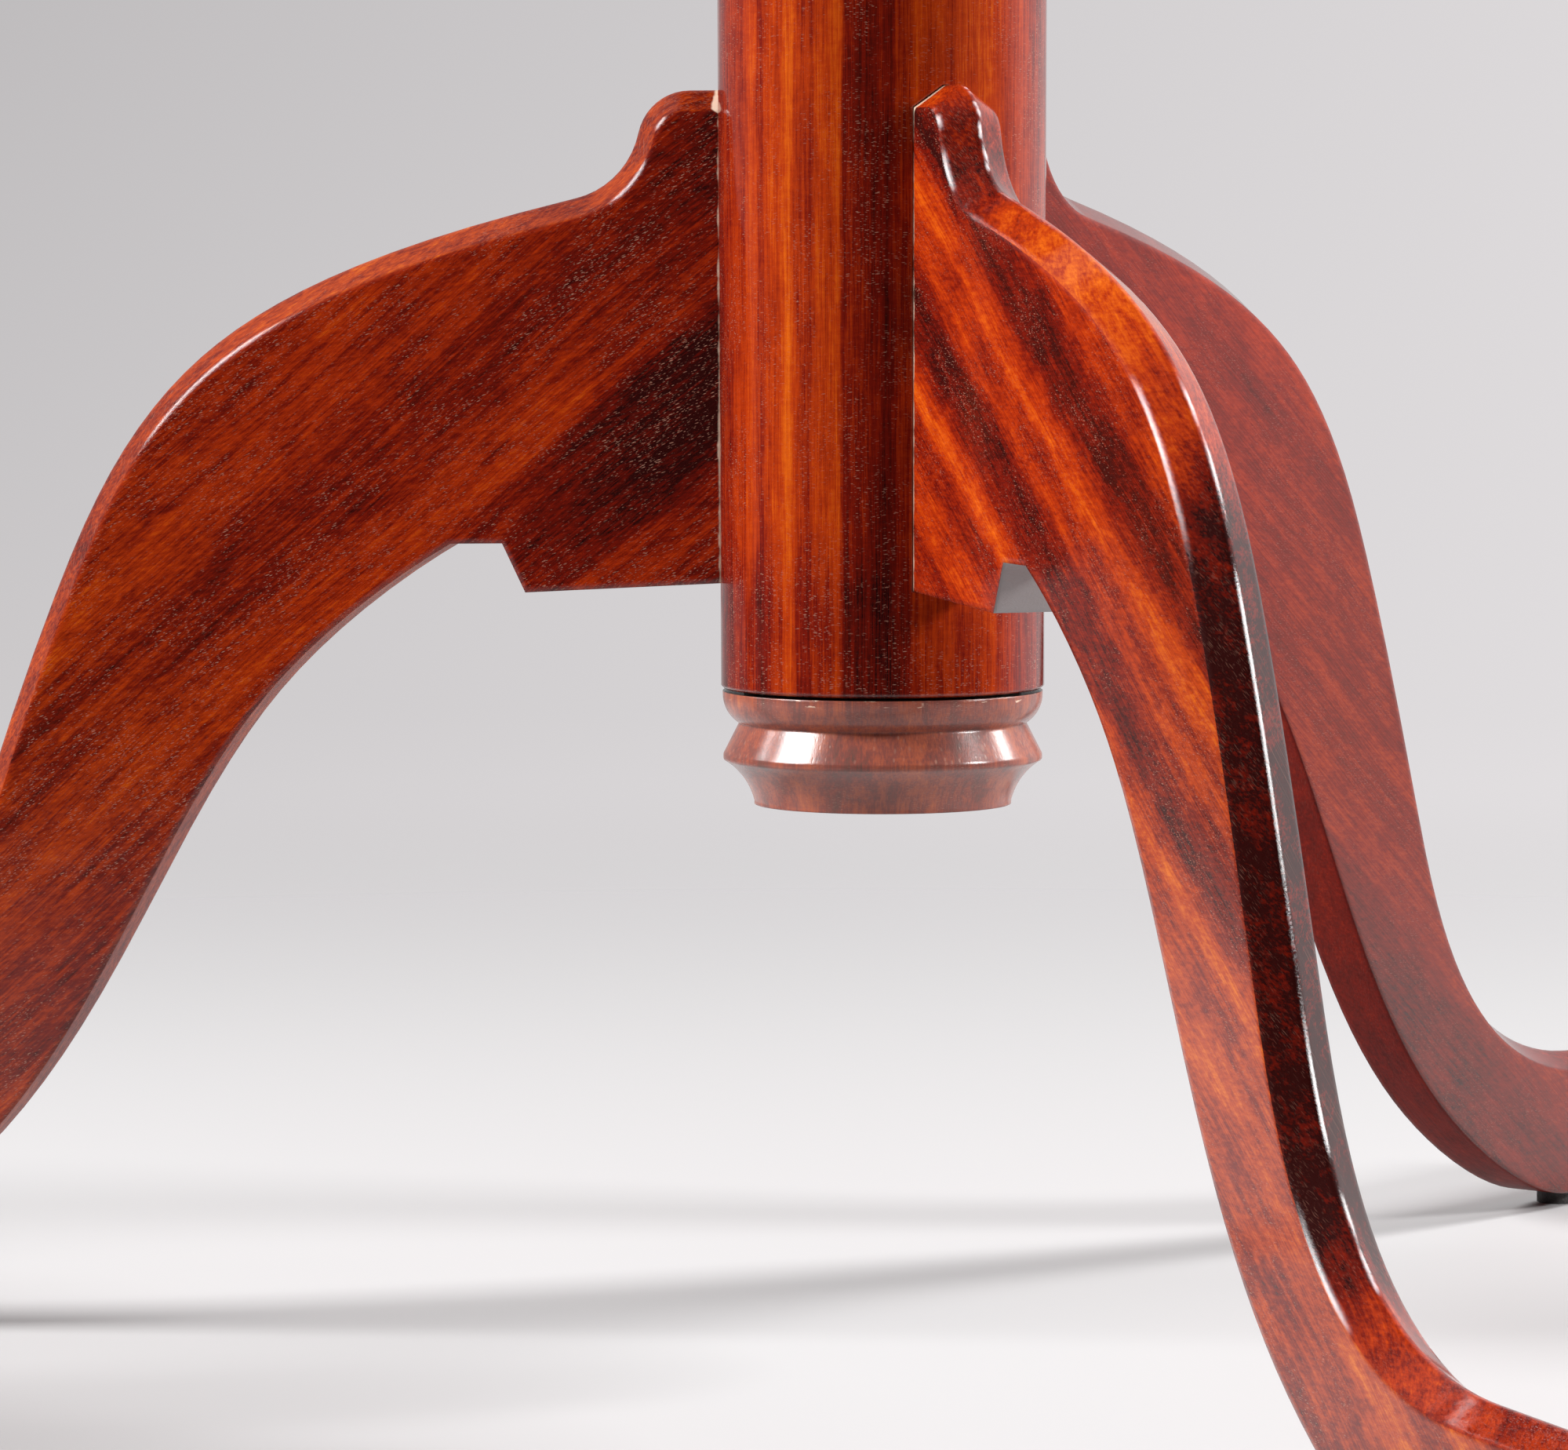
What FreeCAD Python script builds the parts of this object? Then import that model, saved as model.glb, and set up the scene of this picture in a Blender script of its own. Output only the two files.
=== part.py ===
import FreeCAD, Part
import math
import os
import Sketcher

# Candlestick table, in millimetres. +Z is up, the floor is z = 0 and the column stands on the Z axis.
# The left leg points along -X. Every size is in the sheet below, and the features are bound to it.

os.makedirs("parts", exist_ok=True)
doc = FreeCAD.newDocument("candlestick_table")
sheet = doc.addObject("Spreadsheet::Sheet", "Sizes")

SIZES = [
    # Whole table
    ("table_height", "690", "floor to the upper face of the top"),
    ("top_radius", "290", "half the diameter of the round top"),
    ("top_thick", "20", "thickness of the boards"),
    ("overrun", "5", "how far a cut runs past the face it opens"),
    ("leg_count", "3", "legs around the column"),
    ("leg_turn", "=360 / leg_count", "degrees between legs"),
    ("left_bearing", "180", "direction of the left leg, degrees from +X"),
    ("front_bearing", "=left_bearing + leg_turn", "direction of the front leg"),
    ("rear_bearing", "=left_bearing - leg_turn", "direction of the rear leg"),
    # Fits
    ("dowel_clear", "0.3", "radial glue room around dowels, tenon and screws"),
    ("seat_clear", "0.15", "room on each side of a leg in its seat"),
    ("end_clear", "0.5", "room at the blind end of a hole"),
    # Column, lower part
    ("column_radius", "30.3", "radius at the lower end"),
    ("column_swell", "0.4", "growth of the radius up to the moulding"),
    ("column_arris", "0.5", "chamfer at the lower end"),
    ("seam_height", "126", "lower end of the column"),
    ("moulding_height", "264", "where the plain part ends"),
    ("plain_radius", "=column_radius + column_swell", "radius at the top of the plain part"),
    ("plain_bottom_face", "=column_radius - column_arris", "flat radius of the lower end"),
    ("plain_start", "=seam_height + column_arris", "height where the plain part starts"),
    ("seat_inset", "1", "depth of a leg seat"),
    ("seat_plane", "=column_radius - seat_inset", "distance of a seat from the axis"),
    ("seat_half", "=leg_thick / 2 + seat_clear", "half width of a seat"),
    ("seat_cut", "=seat_inset + column_swell + overrun", "length of the seat cut"),
    ("seat_top", "=tab_height + seat_clear", "upper end of a seat"),
    ("seat_shoulder", "=seat_top - bevel_face", "where a seat narrows to the leg's ridge"),
    ("seat_ridge_half", "=ridge_half + seat_clear", "half width of a seat's upper end"),
    ("seat_bottom", "=block_height_inner - seat_clear", "lower end of a seat"),
    # Column, turned upper part
    ("quirk_radius", "27", "radius of the fillets beside the lower ring"),
    ("ring_radius", "5", "half round of the lower ring"),
    ("ring_centre", "=moulding_height + ring_radius", "height of the lower ring"),
    ("ring_top", "=moulding_height + 2 * ring_radius", "upper side of the lower ring"),
    ("shaft_start_radius", "22", "radius where the baluster starts"),
    ("shaft_start", "=ring_top + quirk_rise", "height where the baluster starts"),
    ("quirk_rise", "3", "height of the fillet over the lower ring"),
    ("neck_radius", "11", "control radius of the lower neck"),
    ("neck_share", "0.05", "height of that point, as a share of the baluster"),
    ("neck_height", "=shaft_start + neck_share * shaft_length", "control height of the lower neck"),
    ("swell_in_radius", "16", "control radius under the swelling"),
    ("swell_in_share", "0.128", "height of that point, as a share of the baluster"),
    ("swell_in_height", "=shaft_start + swell_in_share * shaft_length", "control height under the swelling"),
    ("swell_radius", "34", "control radius of the swelling"),
    ("swell_share", "0.234", "height of that point, as a share of the baluster"),
    ("swell_height", "=shaft_start + swell_share * shaft_length", "control height of the swelling"),
    ("taper_in_radius", "21", "control radius where the taper starts"),
    ("taper_in_share", "0.483", "height of that point, as a share of the baluster"),
    ("taper_in_height", "=shaft_start + taper_in_share * shaft_length", "control height where the taper starts"),
    ("taper_radius", "13", "control radius along the taper"),
    ("taper_share", "0.773", "height of that point, as a share of the baluster"),
    ("taper_height", "=shaft_start + taper_share * shaft_length", "control height along the taper"),
    ("shaft_end_radius", "14", "radius where the baluster ends"),
    ("collar_radius", "4", "half round of the upper ring"),
    ("collar_gap", "22", "straight neck over the upper ring"),
    ("collar_top", "=flare_low - collar_gap", "upper side of the upper ring"),
    ("collar_centre", "=collar_top - collar_radius", "height of the upper ring"),
    ("shaft_end", "=collar_centre - collar_radius", "height where the baluster ends"),
    ("shaft_length", "=shaft_end - shaft_start", "length of the baluster"),
    ("flare_radius", "26", "radius of the shoulder under the bearer"),
    ("flare_start", "=shoulder_height - flare_face", "height where the shoulder face starts"),
    ("flare_face", "6", "height of the shoulder face"),
    ("flare_curve", "=flare_radius - shaft_end_radius", "radius of the cove under the shoulder"),
    ("flare_low", "=flare_start - flare_curve", "height where that cove starts"),
    ("shoulder_height", "=board_under - bearer_thick", "upper end of the column's shoulder"),
    ("tenon_radius", "16", "radius of the tenon"),
    ("tenon_top", "=board_under - end_clear", "upper end of the tenon"),
    # Wedge in the tenon
    ("wedge_top_half", "1.6", "half thickness at the top"),
    ("wedge_tip_half", "0.9", "half thickness at the tip"),
    ("wedge_depth", "17", "length down the tenon"),
    ("wedge_tip", "=tenon_top - wedge_depth", "height of the wedge's tip"),
    ("kerf_tip", "=wedge_tip - end_clear", "height of the bottom of the kerf"),
    ("wedge_width", "=2 * (tenon_radius - dowel_clear)", "width across the tenon"),
    ("wedge_slope", "=(wedge_top_half - wedge_tip_half) / wedge_depth", "half thickness gained over length"),
    ("kerf_tip_half", "=wedge_tip_half - wedge_slope * end_clear", "half width of the bottom of the kerf"),
    ("kerf_top", "=tenon_top + overrun", "upper end of the kerf cut"),
    ("kerf_top_half", "=wedge_top_half + wedge_slope * overrun", "half width of the kerf cut at its upper end"),
    # Leg, outer edge
    ("leg_thick", "12", "thickness of the legs"),
    ("ridge_half", "0.4", "half width of the ridge left along the outer edge"),
    ("bevel_edge", "=leg_thick / 2 - ridge_half", "width of a bevel across the outer edge"),
    ("bevel_face", "4", "how far a bevel runs down a leg's face"),
    ("tab_height", "237.5", "top of the leg at the column"),
    ("tab_corner", "10", "radius at the end of the flat top"),
    ("tab_flat", "36.3", "where the flat top ends, from the axis"),
    ("tab_corner_height", "=tab_height - tab_corner", "height of that corner's centre"),
    ("tab_corner_out", "=tab_flat + tab_corner", "outer limit of that corner"),
    ("step_radius", "16", "radius of the hollow step below the tab"),
    ("step_centre", "61.7", "centre of the step, from the axis"),
    ("knee_in_share", "0.3149", "first control point of the knee, as a share of the reach"),
    ("knee_in", "=knee_in_share * toe_reach", "its distance from the axis"),
    ("knee_in_height", "209.7", "its height"),
    ("knee_out_share", "0.476", "second control point of the knee, as a share of the reach"),
    ("knee_out", "=knee_out_share * toe_reach", "its distance from the axis"),
    ("knee_out_height", "192.8", "its height"),
    ("shin_in_share", "0.5573", "upper control point of the shin, as a share of the reach"),
    ("shin_in", "=shin_in_share * toe_reach", "its distance from the axis"),
    ("shin_in_height", "142", "its height"),
    ("shin_out_share", "0.6042", "lower control point of the shin, as a share of the reach"),
    ("shin_out", "=shin_out_share * toe_reach", "its distance from the axis"),
    ("shin_out_height", "103.1", "its height"),
    ("ankle_out_share", "0.6868", "control point of the ankle, as a share of the reach"),
    ("ankle_out", "=ankle_out_share * toe_reach", "its distance from the axis"),
    ("toe_start_share", "0.8646", "start of the toe's flat, as a share of the reach"),
    ("toe_start", "=toe_start_share * toe_reach", "its distance from the axis"),
    ("toe_height", "32.6", "height of the toe's upper face"),
    ("toe_reach", "288", "end of the toe, from the axis"),
    ("toe_nose", "8", "radius of the toe's upper end"),
    ("toe_flat_end", "=toe_reach - toe_nose", "where the flat of the toe ends"),
    ("toe_nose_height", "=toe_height - toe_nose", "height of the nose's centre"),
    # Leg, inner edge
    ("block_height_inner", "145.6", "underside of the leg at the column"),
    ("block_height_outer", "143.6", "underside at the step"),
    ("block_out_share", "0.2326", "outer corner of the underside, as a share of the reach"),
    ("block_out", "=block_out_share * toe_reach", "its distance from the axis"),
    ("notch_in_share", "0.2479", "top of the step in the underside, as a share of the reach"),
    ("notch_in", "=notch_in_share * toe_reach", "its distance from the axis"),
    ("notch_height", "152.8", "its height"),
    ("arch_start_share", "0.2823", "start of the arch, as a share of the reach"),
    ("arch_start", "=arch_start_share * toe_reach", "its distance from the axis"),
    ("arch_start_height", "152.7", "its height"),
    ("arch_in_share", "0.3094", "first control point of the arch, as a share of the reach"),
    ("arch_in", "=arch_in_share * toe_reach", "its distance from the axis"),
    ("arch_in_height", "148.3", "its height"),
    ("arch_out_share", "0.4163", "second control point of the arch, as a share of the reach"),
    ("arch_out", "=arch_out_share * toe_reach", "its distance from the axis"),
    ("arch_out_height", "128.1", "its height"),
    ("calf_in_share", "0.5024", "control point of the calf, as a share of the reach"),
    ("calf_in", "=calf_in_share * toe_reach", "its distance from the axis"),
    ("calf_in_height", "77.7", "its height"),
    ("calf_out_share", "0.6146", "lower control point of the calf, as a share of the reach"),
    ("calf_out", "=calf_out_share * toe_reach", "its distance from the axis"),
    ("calf_out_height", "24.5", "its height"),
    ("heel_in_share", "0.7729", "control point of the heel, as a share of the reach"),
    ("heel_in", "=heel_in_share * toe_reach", "its distance from the axis"),
    ("heel_out_share", "0.8149", "start of the sole, as a share of the reach"),
    ("heel_out", "=heel_out_share * toe_reach", "its distance from the axis"),
    # Foot pads
    ("pad_thick", "3", "thickness of a foot pad, and height of the sole"),
    ("pad_half", "4.5", "half width of a pad"),
    ("pad_length", "42", "length of a pad"),
    ("pad_margin", "0.5", "how far a pad starts beyond the heel"),
    ("pad_in_centre", "=heel_out + pad_margin + pad_half", "centre of the pad's inner end"),
    ("pad_out_centre", "=heel_out + pad_margin + pad_length - pad_half", "centre of the pad's outer end"),
    # Leg dowels
    ("dowel_radius", "3", "radius of a leg dowel"),
    ("dowel_in", "15", "length of a leg dowel in the column"),
    ("dowel_out", "15", "length of a leg dowel in the leg"),
    ("dowel_rise", "22.4", "height of the lower dowels over the leg's underside"),
    ("dowel_low", "=block_height_inner + dowel_rise", "height of the lower dowels"),
    ("dowel_drop", "27.5", "depth of the upper dowels under the leg's top"),
    ("dowel_high", "=tab_height - dowel_drop", "height of the upper dowels"),
    ("dowel_start", "=seat_plane - dowel_in", "inner end of a dowel, from the axis"),
    ("dowel_length", "=dowel_in + dowel_out", "length of a leg dowel"),
    ("dowel_hole", "=dowel_radius + dowel_clear", "radius of a dowel hole"),
    ("dowel_hole_out", "=dowel_out + end_clear", "depth of the holes in a leg"),
    ("dowel_cut", "=dowel_in + overrun", "length of the hole cut in the column"),
    # Pendant
    ("pendant_height", "21.8", "seam to the flat underside"),
    ("pendant_bottom", "=seam_height - pendant_height", "height of the underside"),
    ("seam_gap", "0.55", "open shadow line at the rim"),
    ("seam_depth", "4", "how far the shadow line runs in"),
    ("rim_height", "=seam_height - seam_gap", "upper edge of the rim"),
    ("rim_radius", "30", "radius of the rim"),
    ("boss_radius", "=rim_radius - seam_depth", "radius of the face that meets the column"),
    ("shoulder_round", "6.4", "round of the pendant's shoulder"),
    ("shoulder_centre", "=rim_radius - shoulder_round", "centre of that round, from the axis"),
    ("shoulder_level", "=rim_height - rim_face", "height of that centre"),
    ("rim_face", "0.6", "upright face of the rim"),
    ("groove_drop", "6.6", "seam to the groove"),
    ("groove_height", "=seam_height - groove_drop", "height of the groove"),
    ("bead_radius", "29.9", "radius of the lower edge bead"),
    ("bead_drop", "12.4", "seam to the upper side of the bead"),
    ("bead_top", "=seam_height - bead_drop", "upper side of the bead"),
    ("bead_face", "1", "upright face of the bead"),
    ("bead_round", "0.4", "round on both arrises of the bead"),
    ("bead_low", "=bead_top - bead_face", "lower side of the bead"),
    ("cove_radius", "12.2", "hollow under the bead"),
    ("base_radius", "24.1", "radius of the flat underside"),
    ("cove_centre", "=base_radius + cove_radius", "centre of the hollow, from the axis"),
    ("cove_level", "=pendant_bottom + base_face", "height of that centre"),
    ("base_face", "0.6", "upright face above the underside"),
    # Pendant dowel
    ("peg_radius", "6", "radius of the pendant's dowel"),
    ("peg_down", "14", "length of the dowel in the pendant"),
    ("peg_up", "22", "length of the dowel in the column"),
    ("peg_hole", "=peg_radius + dowel_clear", "radius of the holes for it"),
    ("peg_bottom", "=seam_height - peg_down", "lower end of the dowel"),
    ("peg_length", "=peg_down + peg_up", "length of the dowel"),
    ("peg_hole_up", "=peg_up + end_clear", "depth of the hole in the column"),
    # Table top
    ("board_under", "=table_height - top_thick", "underside of the boards"),
    ("middle_half", "100", "half width of the middle board"),
    ("edge_round", "4", "round of the upper edge"),
    ("edge_rise", "9", "upright part of the edge below the round"),
    ("edge_sweep", "14", "how far the underside bevel runs in"),
    ("edge_round_centre", "=top_radius - edge_round", "centre of the upper round, from the axis"),
    ("edge_round_level", "=table_height - edge_round", "height of that centre"),
    ("edge_low", "=edge_round_level - edge_rise", "lower end of the upright part"),
    ("bevel_in", "=top_radius - edge_sweep", "where the bevel meets the underside"),
    ("board_cut", "=top_radius + overrun", "half size of the cut that leaves one board"),
    # Bearer
    ("bearer_half_length", "210", "half length of the bearer at the boards"),
    ("bearer_half_flat", "185", "half length of its lower face"),
    ("bearer_width", "100", "width of the bearer"),
    ("bearer_thick", "24", "thickness of the bearer"),
    ("bearer_end", "9", "thickness left at the ends"),
    ("bearer_end_height", "=board_under - bearer_end", "height where the ends are bevelled"),
    ("mortise_radius", "=tenon_radius + dowel_clear", "radius of the mortise"),
    # Screws
    ("screw_radius", "2.1", "radius of a screw's shank"),
    ("screw_head", "4.1", "radius of a screw's head"),
    ("screw_length", "38", "length of a screw"),
    ("screw_point", "4", "length of the point"),
    ("screw_side", "30", "distance of the screws from the bearer's centre line"),
    ("screw_near", "55", "distance of the inner screws from the column"),
    ("screws_in_row", "4", "screws along the bearer"),
    ("screw_rows", "2", "rows of screws"),
    ("screw_span", "=2 * screw_near * (screws_in_row - 1)", "length of a row of screws"),
    ("screw_far", "=screw_span / 2", "distance of the outer screws from the column"),
    ("screw_sink", "0.2", "how far a head lies below the bearer's face"),
    ("screw_base", "=shoulder_height + screw_sink", "height of the screw heads"),
    ("screw_neck", "=screw_base + screw_head - screw_radius", "height where the shank starts"),
    ("screw_tip", "=screw_base + screw_length", "height of the points"),
    ("screw_taper", "=screw_tip - screw_point", "height where the points start"),
    ("screw_hole", "=screw_radius + dowel_clear", "radius of the holes for the screws"),
    ("screw_mouth", "=2 * (screw_head + screw_sink + dowel_clear)", "diameter of the countersinks"),
    ("screw_hole_diameter", "=2 * screw_hole", "diameter of the holes for the screws"),
    ("pilot_depth", "=screw_tip - board_under + end_clear", "depth of the holes in the boards"),
    ("screw_row", "=2 * screw_side", "distance between the two rows of screws"),
]
# Every name is made before any sum is written, because some sums use sizes from further down
for row, (alias, text, note) in enumerate(SIZES, start=1):
    sheet.set("A%d" % row, alias)
    sheet.set("B%d" % row, "0")
    sheet.setAlias("B%d" % row, alias)
    sheet.set("C%d" % row, note)
for row, (alias, text, note) in enumerate(SIZES, start=1):
    sheet.set("B%d" % row, text)
doc.recompute()

RIGHT_ANGLE = math.pi / 2
HALF_TURN = math.pi
CURVE_DEGREE, POLE_WEIGHT = 3, 1
TOUCH_SHARE = 0.001
CUBIC_CENTIMETRE = 1000
FULL_TURN = math.degrees(2 * HALF_TURN)
COUNTERSINK_ANGLE = math.degrees(RIGHT_ANGLE)
START, END, CENTRE = 1, 2, 3
ORIGIN = (-1, 1)
LEVEL_AXIS = ORIGIN[0]
UPRIGHT_AXIS = LEVEL_AXIS - 1
UP = FreeCAD.Vector(0, 0, 1)


def size(name):
    """Number behind a size's name; a leading minus turns it round."""
    if name.startswith("-"):
        return -float(sheet.get(name[1:]))
    return float(sheet.get(name))


def link(name):
    """Expression that reads a size from the sheet."""
    if name.startswith("-"):
        return "-Sizes." + name[1:]
    return "Sizes." + name


def bind(feature, **properties):
    for prop, name in properties.items():
        feature.setExpression(prop, link(name))


def plane(body, role):
    for feature in body.Origin.OriginFeatures:
        if feature.Role == role:
            return feature
    raise ValueError(role)


class Outline:
    """A closed sketch whose points are pinned to sizes in the sheet."""

    def __init__(self, body, name, role, shift=None):
        self.sketch = body.newObject("Sketcher::SketchObject", name)
        self.sketch.AttachmentSupport = (plane(body, role), [""])
        self.sketch.MapMode = "FlatFace"
        if shift:
            self.sketch.AttachmentOffset = FreeCAD.Placement(FreeCAD.Vector(0, 0, size(shift)), FreeCAD.Rotation())
            self.sketch.setExpression("AttachmentOffset.Base.z", link(shift))

    def vector(self, at):
        return FreeCAD.Vector(*[size(name) if name else 0 for name in at], 0)

    def constrain(self, *what):
        return self.sketch.addConstraint(Sketcher.Constraint(*what))

    def measure(self, kind, where, name):
        index = self.constrain(kind, *where, size(name))
        self.sketch.setExpression("Constraints[%d]" % index, link(name))

    def pin(self, geo, pos, at):
        """Hold a point at two named sizes; None holds it on the axis."""
        across, up = at
        if across is None and up is None:
            self.constrain("Coincident", geo, pos, *ORIGIN)
            return
        if across is None:
            self.constrain("PointOnObject", geo, pos, UPRIGHT_AXIS)
        else:
            self.measure("DistanceX", (*ORIGIN, geo, pos), across)
        if up is None:
            self.constrain("PointOnObject", geo, pos, LEVEL_AXIS)
        else:
            self.measure("DistanceY", (*ORIGIN, geo, pos), up)

    def centre_over(self, geo, across):
        """Hold an arc's centre at a named distance along the sketch; its ends hold the rest."""
        self.measure("DistanceX", (*ORIGIN, geo, CENTRE), across)

    def line(self, a, b):
        return self.sketch.addGeometry(Part.LineSegment(a, b), False)

    def join(self, first, second):
        self.constrain("Coincident", first, END, second, START)

    def path(self, points, closed=True):
        """Straight edges through named points."""
        spots = [self.vector(at) for at in points]
        ends = spots[1:] + spots[:1] if closed else spots[1:]
        edges = [self.line(a, b) for a, b in zip(spots, ends)]
        for edge, at in zip(edges, points):
            self.pin(edge, START, at)
        for first, second in zip(edges, edges[1:]):
            self.join(first, second)
        if closed:
            self.join(edges[-1], edges[0])
        else:
            self.pin(edges[-1], END, points[-1])
        return edges

    def arc(self, centre, radius, first, last):
        """Arc between two directions, in radians; its centre and radius are named sizes."""
        circle = Part.Circle(self.vector(centre), UP, size(radius))
        return self.sketch.addGeometry(Part.ArcOfCircle(circle, first, last), False)

    def spline(self, points):
        """Smooth curve from its control points. Those with a size on both axes are pinned."""
        spots = [self.vector(at) for at in points]
        curve = Part.BSplineCurve()
        curve.buildFromPoles(spots, False, CURVE_DEGREE)
        geo = self.sketch.addGeometry(curve, False)
        poles = []
        for index, spot in enumerate(spots):
            mark = self.sketch.addGeometry(Part.Circle(spot, UP, POLE_WEIGHT), True)
            if poles:
                self.constrain("Equal", poles[0], mark)
            else:
                self.constrain("Weight", mark, POLE_WEIGHT)
            self.constrain("InternalAlignment:Sketcher::BSplineControlPoint", mark, CENTRE, geo, index)
            poles.append(mark)
        for mark, at in list(zip(poles, points))[1:-1]:
            self.pin(mark, CENTRE, at)
        return geo, poles

    def circle(self, centre, radius):
        ring = Part.Circle(self.vector(centre), UP, size(radius))
        geo = self.sketch.addGeometry(ring, False)
        self.pin(geo, CENTRE, centre)
        self.measure("Radius", (geo,), radius)
        return geo

    def box(self, low, high):
        """Rectangle between two corners given as named sizes."""
        return self.path([low, (high[0], low[1]), high, (low[0], high[1])])


def body_named(name, bearing=None):
    body = doc.addObject("PartDesign::Body", name)
    body.Label = name
    body.AllowCompound = True
    if bearing:
        body.Placement = FreeCAD.Placement(FreeCAD.Vector(), FreeCAD.Rotation(UP, size(bearing)))
        body.setExpression("Placement.Rotation.Angle", link(bearing))
    return body


def feature(body, kind, name, outline, **bound):
    made = body.newObject("PartDesign::" + kind, name)
    made.Profile = outline.sketch
    bind(made, **bound)
    outline.sketch.Visibility = False
    return made


def revolve(body, name, outline):
    made = feature(body, "Revolution", name, outline)
    made.ReferenceAxis = (outline.sketch, ["V_Axis"])
    made.Angle = FULL_TURN
    return made


def pad_both_ways(body, name, outline, length):
    made = feature(body, "Pad", name, outline, Length=length)
    made.SideType = "Symmetric"
    return made


def cut(body, name, outline, length=None, reverse=False):
    """Pocket of a named length, or right through when no length is given."""
    if length:
        made = feature(body, "Pocket", name, outline, Length=length)
    else:
        made = feature(body, "Pocket", name, outline)
        made.Type = "ThroughAll"
    made.Reversed = reverse
    return made


def around(body, name, originals):
    """Repeat features once for each leg, about the column's axis."""
    made = body.newObject("PartDesign::PolarPattern", name)
    made.Originals = originals
    made.Axis = (axis(body, "Z_Axis"), [""])
    made.Angle = FULL_TURN
    bind(made, Occurrences="leg_count")
    return made


def axis(body, role):
    return plane(body, role)


def finish(body, tip):
    body.Tip = tip
    doc.recompute()


# Column: turned profile, leg seats, dowel holes, pendant hole and wedge kerf
def make_column():
    body = body_named("column")
    out = Outline(body, "column_profile", "XZ_Plane")
    lower = out.path([
        (None, "seam_height"), ("plain_bottom_face", "seam_height"), ("column_radius", "plain_start"),
        ("plain_radius", "moulding_height"), ("quirk_radius", "moulding_height")], closed=False)
    ring = out.arc(("quirk_radius", "ring_centre"), "ring_radius", -RIGHT_ANGLE, RIGHT_ANGLE)
    out.centre_over(ring, "quirk_radius")
    out.join(lower[-1], ring)
    fillet = out.path([
        ("quirk_radius", "ring_top"), ("shaft_start_radius", "ring_top"),
        ("shaft_start_radius", "shaft_start")], closed=False)
    out.join(ring, fillet[0])
    shaft, _ = out.spline([
        ("shaft_start_radius", "shaft_start"), ("neck_radius", "neck_height"),
        ("swell_in_radius", "swell_in_height"), ("swell_radius", "swell_height"),
        ("taper_in_radius", "taper_in_height"), ("taper_radius", "taper_height"),
        ("shaft_end_radius", "shaft_end")])
    out.join(fillet[-1], shaft)
    out.pin(shaft, END, ("shaft_end_radius", "shaft_end"))
    collar = out.arc(("shaft_end_radius", "collar_centre"), "collar_radius", -RIGHT_ANGLE, RIGHT_ANGLE)
    out.centre_over(collar, "shaft_end_radius")
    out.join(shaft, collar)
    neck = out.path([("shaft_end_radius", "collar_top"), ("shaft_end_radius", "flare_low")], closed=False)
    out.join(collar, neck[0])
    cove = out.arc(("flare_radius", "flare_low"), "flare_curve", RIGHT_ANGLE, HALF_TURN)
    out.centre_over(cove, "flare_radius")
    out.constrain("Coincident", neck[-1], END, cove, END)
    upper = out.path([
        ("flare_radius", "flare_start"), ("flare_radius", "shoulder_height"), ("tenon_radius", "shoulder_height"),
        ("tenon_radius", "tenon_top"), (None, "tenon_top"), (None, "seam_height")], closed=False)
    out.constrain("Coincident", cove, START, upper[0], START)
    turned = revolve(body, "column_turned", out)
    kerf = Outline(body, "kerf_outline", "XZ_Plane")
    kerf.path([
        ("-kerf_tip_half", "kerf_tip"), ("kerf_tip_half", "kerf_tip"),
        ("kerf_top_half", "kerf_top"), ("-kerf_top_half", "kerf_top")])
    slot = cut(body, "wedge_kerf", kerf)
    slot.SideType = "Symmetric"
    peg = Outline(body, "peg_hole_outline", "XY_Plane", "seam_height")
    peg.circle((None, None), "peg_hole")
    cut(body, "peg_bore", peg, "peg_hole_up", reverse=True)
    seat = Outline(body, "seat_outline", "YZ_Plane", "-seat_plane")
    seat.path([
        ("-seat_half", "seat_bottom"), ("seat_half", "seat_bottom"), ("seat_half", "seat_shoulder"),
        ("seat_ridge_half", "seat_top"), ("-seat_ridge_half", "seat_top"), ("-seat_half", "seat_shoulder")])
    seat_cut = cut(body, "leg_seat", seat, "seat_cut")
    holes = Outline(body, "dowel_outline", "YZ_Plane", "-dowel_start")
    holes.circle((None, "dowel_low"), "dowel_hole")
    holes.circle((None, "dowel_high"), "dowel_hole")
    hole_cut = cut(body, "dowel_bores", holes, "dowel_cut")
    doc.recompute()
    finish(body, around(body, "leg_joints", [seat_cut, hole_cut]))
    return body


# Wedge that spreads the tenon
def make_wedge():
    body = body_named("tenon_wedge")
    out = Outline(body, "wedge_outline", "XZ_Plane")
    out.path([
        ("-wedge_tip_half", "wedge_tip"), ("wedge_tip_half", "wedge_tip"),
        ("wedge_top_half", "tenon_top"), ("-wedge_top_half", "tenon_top")])
    finish(body, pad_both_ways(body, "wedge_blank", out, "wedge_width"))
    return body


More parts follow.
